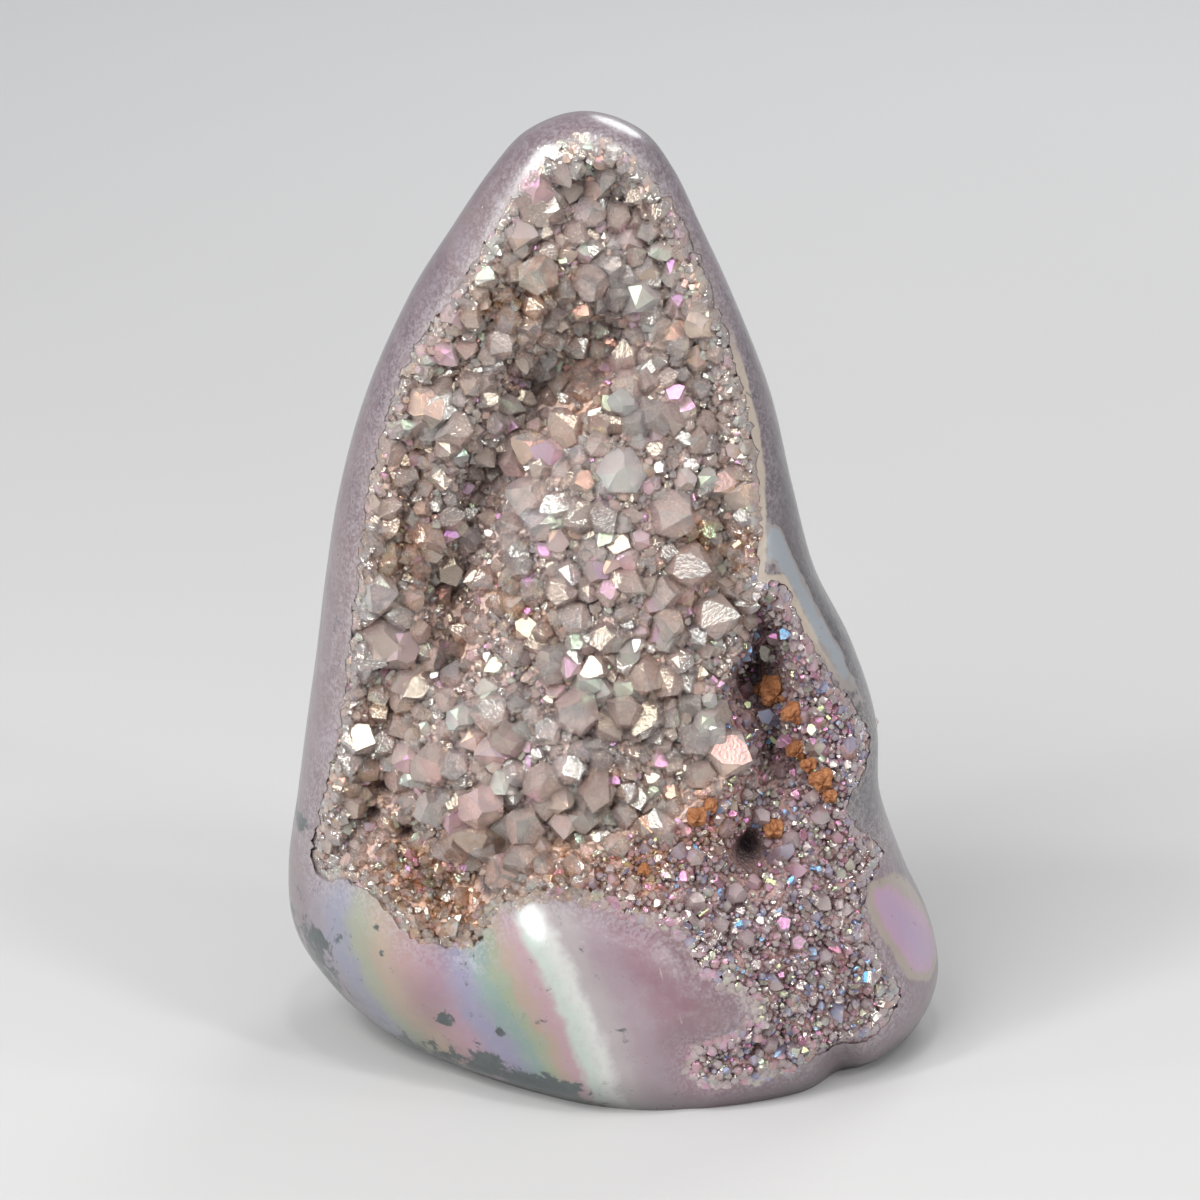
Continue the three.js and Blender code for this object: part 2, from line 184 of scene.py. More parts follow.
# %% Outlines and furrows
LEDGE = [[22, 80], [21.5, 72], [18.5, 66], [15, 62.5], [16, 58], [20, 53], [18.5, 50], [15, 48],
         [10.5, 44], [4, 41], [-2, 39.5], [-4, 34]]
HOLLOW_EDGE = [[-8, 35], [-13, 34.5], [-17, 32.5], [-19, 29.5], [-22, 25], [-27, 24.5], [-32, 26],
               [-35, 29], [-38, 31.5], [-42, 32], [-46, 31], [-47.4, 34.5], [-46, 40], [-44, 49],
               [-42.2, 57], [-41, 67], [-39.8, 76], [-38.8, 85], [-37, 95], [-35, 103],
               [-32.6, 110.5], [-29, 117], [-25, 122.5], [-21, 128.5], [-17.5, 134], [-14.5, 139],
               [-11, 143], [-7.5, 145.2], [-3, 145.6], [1, 144.5], [5, 141], [9, 135.5],
               [12, 129.5], [14.8, 123], [17, 116.5], [19.2, 109.5], [21, 102], [22, 95], [22.2, 87]]
RECESS_EDGE = [[9, 28.5], [13, 23.5], [20, 18.5], [21.5, 15], [18, 12.5], [12, 10.5], [11.5, 7],
               [14, 5], [21, 5], [29, 6], [34, 7.5], [39, 7], [43, 10], [44.5, 14], [41.5, 19],
               [39, 26], [39.5, 30], [42, 33.5], [38, 39], [36.2, 43.5], [38.5, 47], [39.6, 51],
               [38.5, 55.5], [35, 61], [31, 67.5], [28, 73.5], [25.5, 79]]
OPENING = np.array(HOLLOW_EDGE + LEDGE[:1] + RECESS_EDGE[::-1] + LEDGE[-1:], float)
HOLLOW = np.array(HOLLOW_EDGE + LEDGE, float)
RECESS = np.array(RECESS_EDGE + LEDGE, float)
HOLLOW_DEPTH = 7.5
RECESS_DEPTH = 4
SHALLOWEST_BED = 0.4
EDGE_RAMP = 7

# Each line: from X, Z to X, Z, then its half-width and its depth (a swell is negative).
BED_RELIEF = [
    (-35.5, 45.5, -35.6, 45.6, 2, 4), (-37.6, 41.2, -37.5, 41, 1.6, 3.5),
    (-32, 39.4, -31.8, 39.5, 1.8, 4), (-19.6, 34, -19.5, 34.1, 2.2, 4.5), (-2, 115, -12, 106, 6, 7),
    (-12, 106, -19, 93, 6, 4), (-19, 93, -25, 76, 5, 6), (-25, 76, -25.5, 66, 4, 6),
    (4, 92, 4, 72, 12, -2.5), (-30, 118, -14, 127, 6, -2.5),
    (-24, 50, -8, 53, 6, -2.5), (-30, 30, -24, 29, 5, 2.5), (24.5, 70, 21.5, 61, 4.5, 9),
    (21.5, 61, 25, 50, 5, 8), (25, 50, 21, 37.5, 4.5, 5), (20.5, 37.5, 20.6, 37, 2.6, 5),
    (26, 27, 30, 18, 8, -2.5),
]
LIP_RELIEF = [(-23, 27, -27, 8, 4.5, 2.4), (-13, 34, -5, 6, 5.5, -1.4), (35.5, 0, 35, 4, 3.4, 5)]

# The rounding of the rim, as depth and width, and what is added to both along the top of the lip.
RIM_ROUNDING = (0.5, 1.6)
LIP_ROUNDING = (1.6, 2.6)
LIP_TOP = 40
LIP_RIGHT = 16
LIP_FADE = 6
print("outline points:", len(HOLLOW_EDGE), "round the hollow,", len(RECESS_EDGE), "round the recess")

# %% [markdown]
# Nearly every shape and colour here starts from a distance: to a line, or to an outline. With
# distances a groove or an edge can be rounded by a formula, where a modeller would need a brush.

# %% Distances and S-curves
def smooth(share):
    """The S-curve 3 t^2 - 2 t^3, held at 0 and 1."""
    held = np.clip(share, 0, 1)
    return held * held * (3 - 2 * held)


def to_segment(x, z, ax, az, bx, bz):
    """Distance from each point to a segment: the point is dropped on the line, held to its ends."""
    length = (bx - ax) ** 2 + (bz - az) ** 2
    share = np.clip(((x - ax) * (bx - ax) + (z - az) * (bz - az)) / length, 0, 1)
    return np.hypot(x - ax - share * (bx - ax), z - az - share * (bz - az))


def to_outline(x, z, outline):
    """Signed distance to a closed outline, positive inside: the least distance to its segments,
    with the sign from how many of them a ray crosses."""
    nearest = np.full(np.shape(x), 1e9)
    crossed = np.zeros(np.shape(x), bool)
    for (ax, az), (bx, bz) in zip(outline, np.roll(outline, -1, axis=0)):
        nearest = np.minimum(nearest, to_segment(x, z, ax, az, bx, bz))
        if az != bz:
            spans = (az > z) != (bz > z)
            crossed ^= spans & (x < ax + (z - az) / (bz - az) * (bx - ax))
    return np.where(crossed, nearest, -nearest)


def relief(x, z, lines):
    """The sum over the lines of depth times exp(-(distance / width)^2)."""
    total = np.zeros(np.shape(x))
    for ax, az, bx, bz, width, depth in lines:
        total += depth * np.exp(-((to_segment(x, z, ax, az, bx, bz) / width) ** 2))
    return total


print("half way up the S-curve:", smooth(0.5))

# %% [markdown]
# Two surfaces over X and Z follow: the polished face of the stone as it was before it was opened,
# and the bed that the crystals stand on, some millimetres behind it. Both are heights in Y, so the
# one can be taken from the other at any place.

# %% The front face and the bed
def rim_rounding(x, z):
    """The rim of the opening is rounded over: the face falls back by a bell across the rim, more
    along the top of the lip, where the stone curves over into the hollow."""
    distance = to_outline(x, z, OPENING)
    lip = smooth((LIP_TOP - z) / LIP_FADE) * smooth((LIP_RIGHT - x) / LIP_FADE)
    depth, width = (rim + more * lip for rim, more in zip(RIM_ROUNDING, LIP_ROUNDING))
    return depth * np.exp(-((distance / width) ** 2))


def polished_front(x, z):
    """Y of the front face: front extent times (1 - reach^n)^(1/n), with n the corner's fullness."""
    section = section_at(z)
    left, right, front = section[..., 1], section[..., 2], section[..., 3]
    middle, half = (left + right) / 2, (right - left) / 2
    fullness = np.where(x < middle, section[..., 5], section[..., 6])
    reach = np.clip(np.abs(x - middle) / np.maximum(half, 1e-6), 0, 1)
    bare = front * (1 - reach**fullness) ** (1 / fullness)
    return bare + relief(x, z, LIP_RELIEF) + rim_rounding(x, z)


def bed_depth(x, z):
    """How far the crystal bed lies behind the polished face: zero at the edge, deeper inwards."""
    inward = smooth(to_outline(x, z, OPENING) / EDGE_RAMP)
    main = smooth(-to_outline(x, z, RECESS) / EDGE_RAMP * 2)
    depth = RECESS_DEPTH + (HOLLOW_DEPTH - RECESS_DEPTH) * main
    return np.maximum(SHALLOWEST_BED, inward * (depth + relief(x, z, BED_RELIEF)))


def bed_front(x, z):
    """Y of the crystal bed: the polished face plus the bed's depth behind it."""
    return polished_front(x, z) + bed_depth(x, z)


DEEPEST_PLACE = np.array([22.0]), np.array([58.0])
print("bed lies up to", round(float(bed_depth(*DEEPEST_PLACE)[0]), 1), "mm deep")

# %% [markdown]
# The polished stone is one closed surface of two parameters: the angle round the axis and the place
# along the sections. It could be modelled by subdividing a rough block, but then nothing would say
# where the section at a given height is. As a grid of formulas it is as fine as it needs to be.

# %% The body of the stone as a grid
COLUMNS = 300
RINGS = 250
WAVE = 0.22
TIP_SLIVER = 0.02


def stone_surface(angle, place):
    """x = middle +- half |cos a|^(2/n), y = front or back extent times |sin a|^(2/n), z = height,
    plus the furrows of the lip and the slight waves that polishing by hand leaves. The waves fade
    out at the foot, at the tip and towards the front."""
    section = section_along(place)
    height, left, right, front, back = (section[..., k] for k in range(5))
    across, along = np.cos(angle), np.sin(angle)
    side = np.where(across < 0, section[..., 5], section[..., 6])
    fullness = np.where(along > 0, BACK_FULLNESS, side)
    half = (right - left) / 2
    x = (left + right) / 2 + np.sign(across) * half * np.abs(across) ** (2 / fullness)
    reach = np.abs(along) ** (2 / fullness)
    lip = (relief(x, height, LIP_RELIEF) + rim_rounding(x, height)) * reach
    y = np.where(along > 0, back * reach, front * reach + lip)
    wave = WAVE * np.sin(0.31 * x + 0.17 * height) * np.sin(0.23 * height + 0.2 * y + 1.1)
    fade = smooth(height / 6) * smooth((STONE_HEIGHT - height) / 12) * smooth((y + 5) / 12)
    return np.stack([x, y + wave * fade, height], axis=-1)


def grid_faces(rows, columns, closed):
    """Four-sided faces between neighbouring rows and columns, joined round the end if closed."""
    row, column = np.meshgrid(np.arange(rows - 1), np.arange(columns - (not closed)), indexing="ij")
    a = row * columns + column
    b = row * columns + (column + 1) % columns
    return np.stack([a, b, b + columns, a + columns], axis=-1).reshape(-1, 4)


def new_mesh(name, points, faces):
    """A mesh in metres from points in millimetres and faces of any number of corners."""
    mesh = bpy.data.meshes.new(name)
    mesh.from_pydata((np.asarray(points) * MM).tolist(), [], [list(map(int, f)) for f in faces])
    mesh.update()
    return mesh


def new_object(name, mesh):
    """The mesh as an object in the scene."""
    piece = bpy.data.objects.new(name, mesh)
    bpy.context.collection.objects.link(piece)
    return piece


def stone_mesh():
    """The grid, closed by one many-sided face over the base and one over the tip. The last ring
    stops a sliver short of the tip, where all its points would fall together."""
    angles = np.linspace(-math.pi, math.pi, COLUMNS, endpoint=False)
    places = LAST * np.linspace(0, 1, RINGS)
    places[-1] = LAST - TIP_SLIVER
    points = stone_surface(angles[None, :], places[:, None] + 0 * angles[None, :]).reshape(-1, 3)
    faces = grid_faces(RINGS, COLUMNS, closed=True).tolist()
    base_ring = list(range(COLUMNS))
    top_ring = [(RINGS - 1) * COLUMNS + k for k in range(COLUMNS)]
    faces += [base_ring[::-1], top_ring]
    return new_mesh("polished_stone", points, faces)


body = new_object("stone_body", stone_mesh())
print("stone body:", len(body.data.vertices), "points")

# %% [markdown]
# The opening is cut with a Boolean, because the stone is one closed solid and the cut leaves clean
# edges. Its outline is finer and more ragged than the plain model's: the polish cuts straight
# through the crystals at the rim and leaves their zigzag.

# %% A ragged outline
RAGGED_STEP = 0.7
RAGGED_SPAN = 0.88
CURVE_STEPS = 12


def finer_outline(outline, step):
    """Points at even steps along a closed Catmull-Rom curve through the outline."""
    before, after = np.roll(outline, 1, axis=0), np.roll(outline, -1, axis=0)
    slope = (after - before) / 2
    next_slope = np.roll(slope, -1, axis=0)
    share = np.linspace(0, 1, CURVE_STEPS, endpoint=False)[None, :, None]
    start, slope, end, next_slope = (v[:, None, :] for v in (outline, slope, after, next_slope))
    rise = end - start
    curve = (start + slope * share + (3 * rise - 2 * slope - next_slope) * share**2
             + (slope + next_slope - 2 * rise) * share**3).reshape(-1, 2)
    along = np.concatenate([[0], np.cumsum(np.hypot(*(np.roll(curve, -1, 0) - curve).T))])
    closed = np.vstack([curve, curve[:1]])
    even = np.linspace(0, along[-1], int(along[-1] / step), endpoint=False)
    return np.stack([np.interp(even, along, closed[:, k]) for k in range(2)], axis=-1)


def ragged_outline(outline, seed):
    """The finer outline with each point moved at random within a span, as crystals zigzag."""
    rng = np.random.default_rng(seed)
    fine = finer_outline(outline, RAGGED_STEP)
    return fine + RAGGED_SPAN * (rng.random(fine.shape) - 0.5)


print("outline points:", len(OPENING), "made finer:", len(finer_outline(OPENING, RAGGED_STEP)))

# %% [markdown]
# The cutter is a block whose far side is the crystal bed itself, worked out on a grid, held to the
# outline by a straight prism. Cutting with the bed's own surface leaves the floor of the hollow
# where the crystals will stand, so no gap opens behind them.

# %% The cutter
# The grid's field of X and Z, and how far the cutter reaches in Y.
FIELD_SIDE = 56
FIELD_LOW = -4
FIELD_HIGH = 154
CUT_FRONT = -70
CUT_BACK = 70
BED_STEP = 1.0
BACKING = 1.2


def prism(name, outline, front, back):
    """An outline in X and Z run from Y = front to Y = back, closed by one many-sided face each."""
    count = len(outline)
    near = np.column_stack([outline[:, 0], np.full(count, front), outline[:, 1]])
    far = np.column_stack([outline[:, 0], np.full(count, back), outline[:, 1]])
    k = np.arange(count)
    sides = np.stack([k, (k + 1) % count, (k + 1) % count + count, k + count], axis=-1)
    faces = sides.tolist() + [list(range(count))[::-1], list(range(count, 2 * count))]
    return new_object(name, new_mesh(name, np.vstack([near, far]), faces))


def bed_block(name, front, back_at, step):
    """A closed block over the field of X and Z, from the plane Y = front back to a surface."""
    x, z = np.meshgrid(np.arange(-FIELD_SIDE, FIELD_SIDE + 1, step),
                       np.arange(FIELD_LOW, FIELD_HIGH + 1, step))
    rows, columns = x.shape
    near = np.stack([x, np.full(x.shape, front), z], axis=-1).reshape(-1, 3)
    far = np.stack([x, back_at(x, z), z], axis=-1).reshape(-1, 3)
    flat = grid_faces(rows, columns, closed=False)
    total = rows * columns
    ring = np.concatenate([
        np.arange(columns), np.arange(1, rows) * columns + columns - 1,
        (rows - 1) * columns + np.arange(columns - 2, -1, -1), np.arange(rows - 2, 0, -1) * columns,
    ])
    after = np.roll(ring, -1)
    sides = np.stack([ring, ring + total, after + total, after], axis=-1)
    faces = flat.tolist() + (flat[:, ::-1] + total).tolist() + sides.tolist()
    return new_object(name, new_mesh(name, np.vstack([near, far]), faces))


print("field of", 2 * FIELD_SIDE, "by", FIELD_HIGH - FIELD_LOW, "mm")

# %% [markdown]
# A Boolean modifier needs closed meshes whose faces all point out, so their winding is worked out
# first. Then the block is held to the outline, and what is left of it is cut from the stone.

# %% The cut
def make_normals_outward(piece):
    """Recalculates the winding of a closed mesh so that its faces point out."""
    bm = bmesh.new()
    bm.from_mesh(piece.data)
    bmesh.ops.recalc_face_normals(bm, faces=bm.faces)
    bm.to_mesh(piece.data)
    bm.free()


def boolean(piece, cutter, operation):
    """Joins or cuts one closed mesh by another and keeps the result as the piece's own mesh."""
    modifier = piece.modifiers.new("cut", "BOOLEAN")
    modifier.object = cutter
    modifier.operation = operation
    modifier.solver = "MANIFOLD"
    graph = bpy.context.evaluated_depsgraph_get()
    result = bpy.data.meshes.new_from_object(piece.evaluated_get(graph))
    piece.modifiers.clear()
    old = piece.data
    piece.data = result
    bpy.data.meshes.remove(old)
    bpy.data.objects.remove(cutter)


cutter = bed_block("cutter", CUT_FRONT, lambda x, z: bed_front(x, z) + BACKING, BED_STEP)
opening_prism = prism("opening", ragged_outline(OPENING, seed=3), CUT_FRONT - 2, CUT_BACK)
for piece in (body, cutter, opening_prism):
    make_normals_outward(piece)
boolean(cutter, opening_prism, "INTERSECT")
boolean(body, cutter, "DIFFERENCE")
print("cut stone:", len(body.data.vertices), "points,", len(body.data.polygons), "faces")

# %% [markdown]
# A quartz point is a six-sided prism closed by six slanting faces, three large and three small. No
# two are alike, because each face grew at its own speed. A few dozen different points are worked
# out here, each as the space behind all of its faces: every three faces meet in one point, and the
# meeting points that lie in front of no other face are its corners.

# %% Quartz points as convex solids
POINT_KINDS = 28
SLANT = math.radians(38.2)
ROOT = -1.5
SHAFTS = (0.0, 0.55)
MEAN_REACH = 0.9
SIDE_REACH = (0.78, 1.0)
# How much further out a tip face starts than the mean, for the large and for the small faces.
LARGE_FACE = (-0.10, 0.06)
SMALL_FACE = (0.0, 0.34)


def quartz_planes(rng, shaft):
    """Unit normals and distances: six sides of the prism, six slanting tip faces and the root.
    A tip face leans so that its normal stands 38.2 degrees above the level; every second tip face
    starts further out, which makes it smaller."""
    turn = np.arange(6) * math.pi / 3
    sides = np.column_stack([np.cos(turn), np.sin(turn), np.zeros(6)])
    tips = np.column_stack([np.cos(SLANT) * sides[:, :2], np.full(6, np.sin(SLANT))])
    apex = shaft + MEAN_REACH / math.tan(SLANT)
    large, small = rng.uniform(*LARGE_FACE, 6), rng.uniform(*SMALL_FACE, 6)
    growth = np.where(np.arange(6) % 2 == 0, large, small)
    root = np.array([[0, 0, -1.0]])
    reach = np.concatenate([rng.uniform(*SIDE_REACH, 6), apex * math.sin(SLANT) + growth, [-ROOT]])
    return np.vstack([sides, tips, root]), reach


def convex_solid(normals, reach):
    """Corners and faces of the space behind all planes. Each three planes meet where the 3 x 3
    system normals . p = reach holds; a corner is kept if it is behind every plane."""
    count = len(reach)
    trios = np.array([(a, b, c) for a in range(count) for b in range(a) for c in range(b)])
    matrices = normals[trios]
    solvable = np.abs(np.linalg.det(matrices)) > 1e-6
    meets = np.linalg.solve(matrices[solvable], reach[trios[solvable]][..., None])[..., 0]
    corners = meets[np.all(meets @ normals.T <= reach + 1e-7, axis=1)]
    corners = np.unique(np.round(corners, 6), axis=0)
    faces = []
    for normal, distance in zip(normals, reach):
        on_face = np.flatnonzero(np.abs(corners @ normal - distance) < 1e-5)
        if len(on_face) < 3:
            continue
        middle = corners[on_face].mean(axis=0)
        first = corners[on_face[0]] - middle
        second = np.cross(normal, first)
        angle = np.arctan2((corners[on_face] - middle) @ second, (corners[on_face] - middle) @ first)
        faces.append(on_face[np.argsort(angle)])
    return corners, faces


def quartz_kinds(seed):
    """A list of different points, with shafts from none to a little over half a radius."""
    rng = np.random.default_rng(seed)
    return [convex_solid(*quartz_planes(rng, shaft)) for shaft in np.linspace(*SHAFTS, POINT_KINDS)]


POINTS = quartz_kinds(seed=11)
face_counts = [len(faces) for _, faces in POINTS]
print("quartz points:", len(POINTS), "kinds of", min(face_counts), "to", max(face_counts), "faces")

# %% [markdown]
# Thousands of points make the crust. Copying objects would be slow, so whole arrays do it: for each
# kind, all its copies are turned, scaled and moved in one multiplication, and the results are laid
# end to end in one mesh. Every point leaves its own marks for the material: how far up the crystal
# a corner is, a tone for the whole crystal, and a number for each face.

# %% Many points as one mesh
def turned_to(aim, spin):
    """3 x 3 matrices that stand the Z axis along each aim, after a turn about itself: the columns
    are two directions square to the aim, then the aim."""
    aim = aim / np.linalg.norm(aim, axis=1, keepdims=True)
    helper = np.where(np.abs(aim[:, 2:]) < 0.9, [[0, 0, 1.0]], [[1.0, 0, 0]])
    side = np.cross(helper, aim)
    side /= np.linalg.norm(side, axis=1, keepdims=True)
    other = np.cross(aim, side)
    cos, sin = np.cos(spin)[:, None], np.sin(spin)[:, None]
    return np.stack([cos * side + sin * other, cos * other - sin * side, aim], axis=2)


def crystal_arrays(kinds, which, place, aim, size, spin, stretch):
    """All copies of all kinds: corner = place + turn . (size * corner of the kind)."""
    turn = turned_to(aim, spin)
    points, loops, lengths, rises, copies, face_copies = [], [], [], [], [], []
    start = 0
    for kind, (corners, faces) in enumerate(kinds):
        chosen = np.flatnonzero(which == kind)
        if not len(chosen):
            continue
        scaled = corners[None] * size[chosen, None, None]
        scaled[..., 2] *= stretch[chosen, None]
        moved = np.einsum("cij,cpj->cpi", turn[chosen], scaled) + place[chosen, None]
        points.append(moved.reshape(-1, 3))
        flat = np.concatenate(faces)
        offset = start + np.arange(len(chosen))[:, None] * len(corners)
        loops.append((flat[None] + offset).reshape(-1))
        lengths.append(np.tile([len(f) for f in faces], len(chosen)))
        top = corners[:, 2].max()
        rises.append(np.tile((corners[:, 2] - ROOT) / (top - ROOT), len(chosen)))
        copies.append(np.repeat(chosen, len(corners)))
        face_copies.append(np.repeat(chosen, len(faces)))
        start += len(chosen) * len(corners)
    return {
        "points": np.concatenate(points), "loops": np.concatenate(loops),
        "lengths": np.concatenate(lengths), "rise": np.concatenate(rises),
        "copy": np.concatenate(copies), "face_copy": np.concatenate(face_copies),
    }


front_aim = turned_to(np.array([[0, -1.0, 0]]), np.array([0.0]))[0, :, 2]
print("a point aimed to the front stands along", front_aim)

# %% [markdown]
# The arrays go into a mesh in one go each: points, then the corners of all faces, then where each
# face starts. Faces stay flat, because a crystal's are. The marks are stored beside them.

# %% Arrays into a mesh
MARKS = ("rise", "tone", "stain", "shade")


def mesh_from_arrays(name, parts):
    """One mesh from a list of array sets: points, face corners, face lengths and marks."""
    mesh = bpy.data.meshes.new(name)
    points = np.concatenate([p["points"] for p in parts]) * MM
    shift = np.cumsum([0] + [len(p["points"]) for p in parts[:-1]])
    loops = np.concatenate([p["loops"] + s for p, s in zip(parts, shift)])
    lengths = np.concatenate([p["lengths"] for p in parts])
    mesh.vertices.add(len(points))
    mesh.vertices.foreach_set("co", points.reshape(-1))
    mesh.loops.add(len(loops))
    mesh.loops.foreach_set("vertex_index", loops.astype(np.int32))
    mesh.polygons.add(len(lengths))
    starts = np.concatenate([[0], np.cumsum(lengths)[:-1]]).astype(np.int32)
    mesh.polygons.foreach_set("loop_start", starts)
    mesh.polygons.foreach_set("material_index", np.concatenate([p["finish"] for p in parts]))
    mesh.polygons.foreach_set("use_smooth", np.zeros(len(lengths), bool))
    mesh.update(calc_edges=True)
    for mark_name in MARKS:
        values = np.concatenate([p[mark_name] for p in parts]).astype(np.float32)
        mesh.attributes.new(mark_name, "FLOAT", "POINT").data.foreach_set("value", values)
    facet = np.concatenate([p["facet"] for p in parts]).astype(np.float32)
    mesh.attributes.new("facet", "FLOAT", "FACE").data.foreach_set("value", facet)
    return mesh


print("marks on each point:", MARKS)

# %% [markdown]
# Where the points stand: on a grid of triangles, each moved a little, so that they are evenly
# crowded but never in rows. Places drawn wholly at random would leave bare spots and heaps. Nothing
# small grows under a larger point, and a few pits between the crystals stay clear.

# %% Places for the points
ROW_PITCH = math.sqrt(0.75)
JITTER = 0.9
COVERED_SHARE = 0.75
PIT_SHARE = 0.6
# Pits between the crystals: X, Z and radius.
PITS = [(-35.5, 45.5, 1.5), (-37.6, 41.2, 1.2), (-32, 39.4, 1.3), (-19.6, 34, 1.5), (20.5, 37.2, 2.5)]


def spread(rng, outline, spacing, margin):
    """Jittered triangle grid over the field, kept where it is inside the outline by the margin."""
    columns = np.arange(-FIELD_SIDE, FIELD_SIDE, spacing)
    rows = np.arange(FIELD_LOW, FIELD_HIGH, spacing * ROW_PITCH)
    x, z = np.meshgrid(columns, rows)
    x = x + (np.arange(len(rows))[:, None] % 2) * spacing / 2
    x = x + spacing * JITTER * (rng.random(x.shape) - 0.5)
    z = z + spacing * JITTER * (rng.random(z.shape) - 0.5)
    x, z = x.reshape(-1), z.reshape(-1)
    kept = to_outline(x, z, outline) > margin
    return x[kept], z[kept]


def clear_of_pits(x, z, size):
    """True where a point stays out of every pit, apart from the outer part of its own width."""
    kept = np.ones(np.shape(x), bool)
    for px, pz, radius in PITS:
        kept &= np.hypot(x - px, z - pz) > radius + size * PIT_SHARE
    return kept


def open_ground(x, z, placed):
    """True where no larger point already stands: further from each than a share of its radius."""
    larger_x, larger_z, larger_size = (v[:, None] for v in placed)
    apart = np.hypot(x[None] - larger_x, z[None] - larger_z)
    return np.all(apart > COVERED_SHARE * larger_size, axis=0)


print("pits:", len(PITS))

# %% [markdown]
# The crust isn't the same all over. Iron stains it rust-brown in patches, it grew finer in the
# trough and in the pocket above the lip, and each point leans a little from straight out of its
# bed. Each of these is a smooth function of X and Z, which every point reads at its own foot.

# %% Stain, coarseness and straight out
SLOPE_REACH = 1.5
# Rust-brown iron stains in the crust: X, Z, half-width and strength.
RUST = [
    (-16, 122, 5, 0.9), (-9, 125, 4.5, 0.6), (-25, 112, 4, 0.4), (-31, 96, 3.5, 0.7),
    (-33, 82, 5, 0.9), (-17, 78, 3, 0.8), (-24, 70, 5, 0.5), (-13, 74, 4, 0.6), (14, 86, 4.5, 0.8),
    (20, 84, 3, 0.8), (-36, 58, 4, 0.7), (-38, 46, 4, 0.7), (10, 76, 6, 0.35), (-6, 112, 5, 0.5),
    (5, 64, 7, 0.3), (-32, 34, 7, 0.9), (-24, 29, 6, 0.8), (-8, 37, 5, 0.8), (4, 38, 6, 0.7),
    (-30, 88, 4, 0.4), (-5, 106, 5, 0.5), (2, 48, 6, 0.35), (-20, 40, 6, 0.5), (14, 44, 5, 0.6),
]


def stain_at(x, z):
    """Iron stain from 0 to 1: the stains' bells added up and held below 1."""
    total = np.zeros(np.shape(x))
    for sx, sz, width, strength in RUST:
        total += strength * np.exp(-(((x - sx) ** 2 + (z - sz) ** 2) / width**2))
    return np.clip(total, 0, 1)


def coarseness(x, z):
    """How large the points grow, from 0.55 to 1.35: slow waves over the crust, and finer in the
    trough, along the top right and in the rusty pocket above the lip."""
    waves = 1 + 0.18 * np.sin(0.16 * x + 1) * np.sin(0.12 * z) + 0.12 * np.sin(0.31 * z + 0.2 * x)
    trough = smooth((bed_depth(x, z) - 8) / 5)
    pocket = smooth((38 - z) / 5)
    right = smooth((x - 6) / 8) * smooth((z - 70) / 10)
    return np.clip(waves * (1 - 0.2 * trough - 0.3 * pocket - 0.2 * right), 0.55, 1.35)


def outward(x, z):
    """Straight out of the bed, of length 1: (slope along X, -1, slope along Z), with the slopes
    measured between places a little to both sides."""
    slope_x = (bed_front(x + SLOPE_REACH, z) - bed_front(x - SLOPE_REACH, z)) / (2 * SLOPE_REACH)
    slope_z = (bed_front(x, z + SLOPE_REACH) - bed_front(x, z - SLOPE_REACH)) / (2 * SLOPE_REACH)
    direction = np.stack([slope_x, -np.ones_like(x), slope_z], axis=-1)
    return direction / np.linalg.norm(direction, axis=1, keepdims=True)


print("iron stains:", len(RUST))

# %% [markdown]
# The polish cuts through whatever stands in front of the face of the stone. So the corners of the
# points that would stick out are moved back onto the face, which leaves flat ground tips along the
# rim. Further in, the hollow was never touched, and the tips may stand free.

# %% Points ground off at the rim
RIM_PROUD = 2.2
RIM_WIDTH = 12
RIM_LEVEL = 0.06


def ground_flush(points):
    """Corners in front of the polished face are moved back onto it, as if ground off: y is held
    at the face, less an allowance that grows from almost nothing at the rim to some mm further in."""
    x, y, z = points.T
    allowed = RIM_PROUD * smooth(to_outline(x, z, OPENING) / RIM_WIDTH) + RIM_LEVEL
    face = polished_front(x, np.clip(z, 0, STONE_HEIGHT))
    return np.stack([x, np.maximum(y, face - allowed), z], axis=-1)


print("tips stand up to", RIM_PROUD, "mm further out inside than at the rim")

# %% [markdown]
# Growing is one function for every size of point, from the large ones to the druse: it draws the
# kinds, leans, turns and lengths, sets the feet on the bed, and hands out the marks and finishes.
# One face in eight takes the finish of another crystal, because the film isn't even on all of them.

# %% Grow points on the bed
PROUD = 0.6
STRETCH = (0.85, 1.25)
LONE_FACES = 0.12
TONE = (0.5, 0.24)
SHADE_START = 6.5
SHADE_SPAN = 9
POINT_TOPS = np.array([corners[:, 2].max() for corners, _ in POINTS])


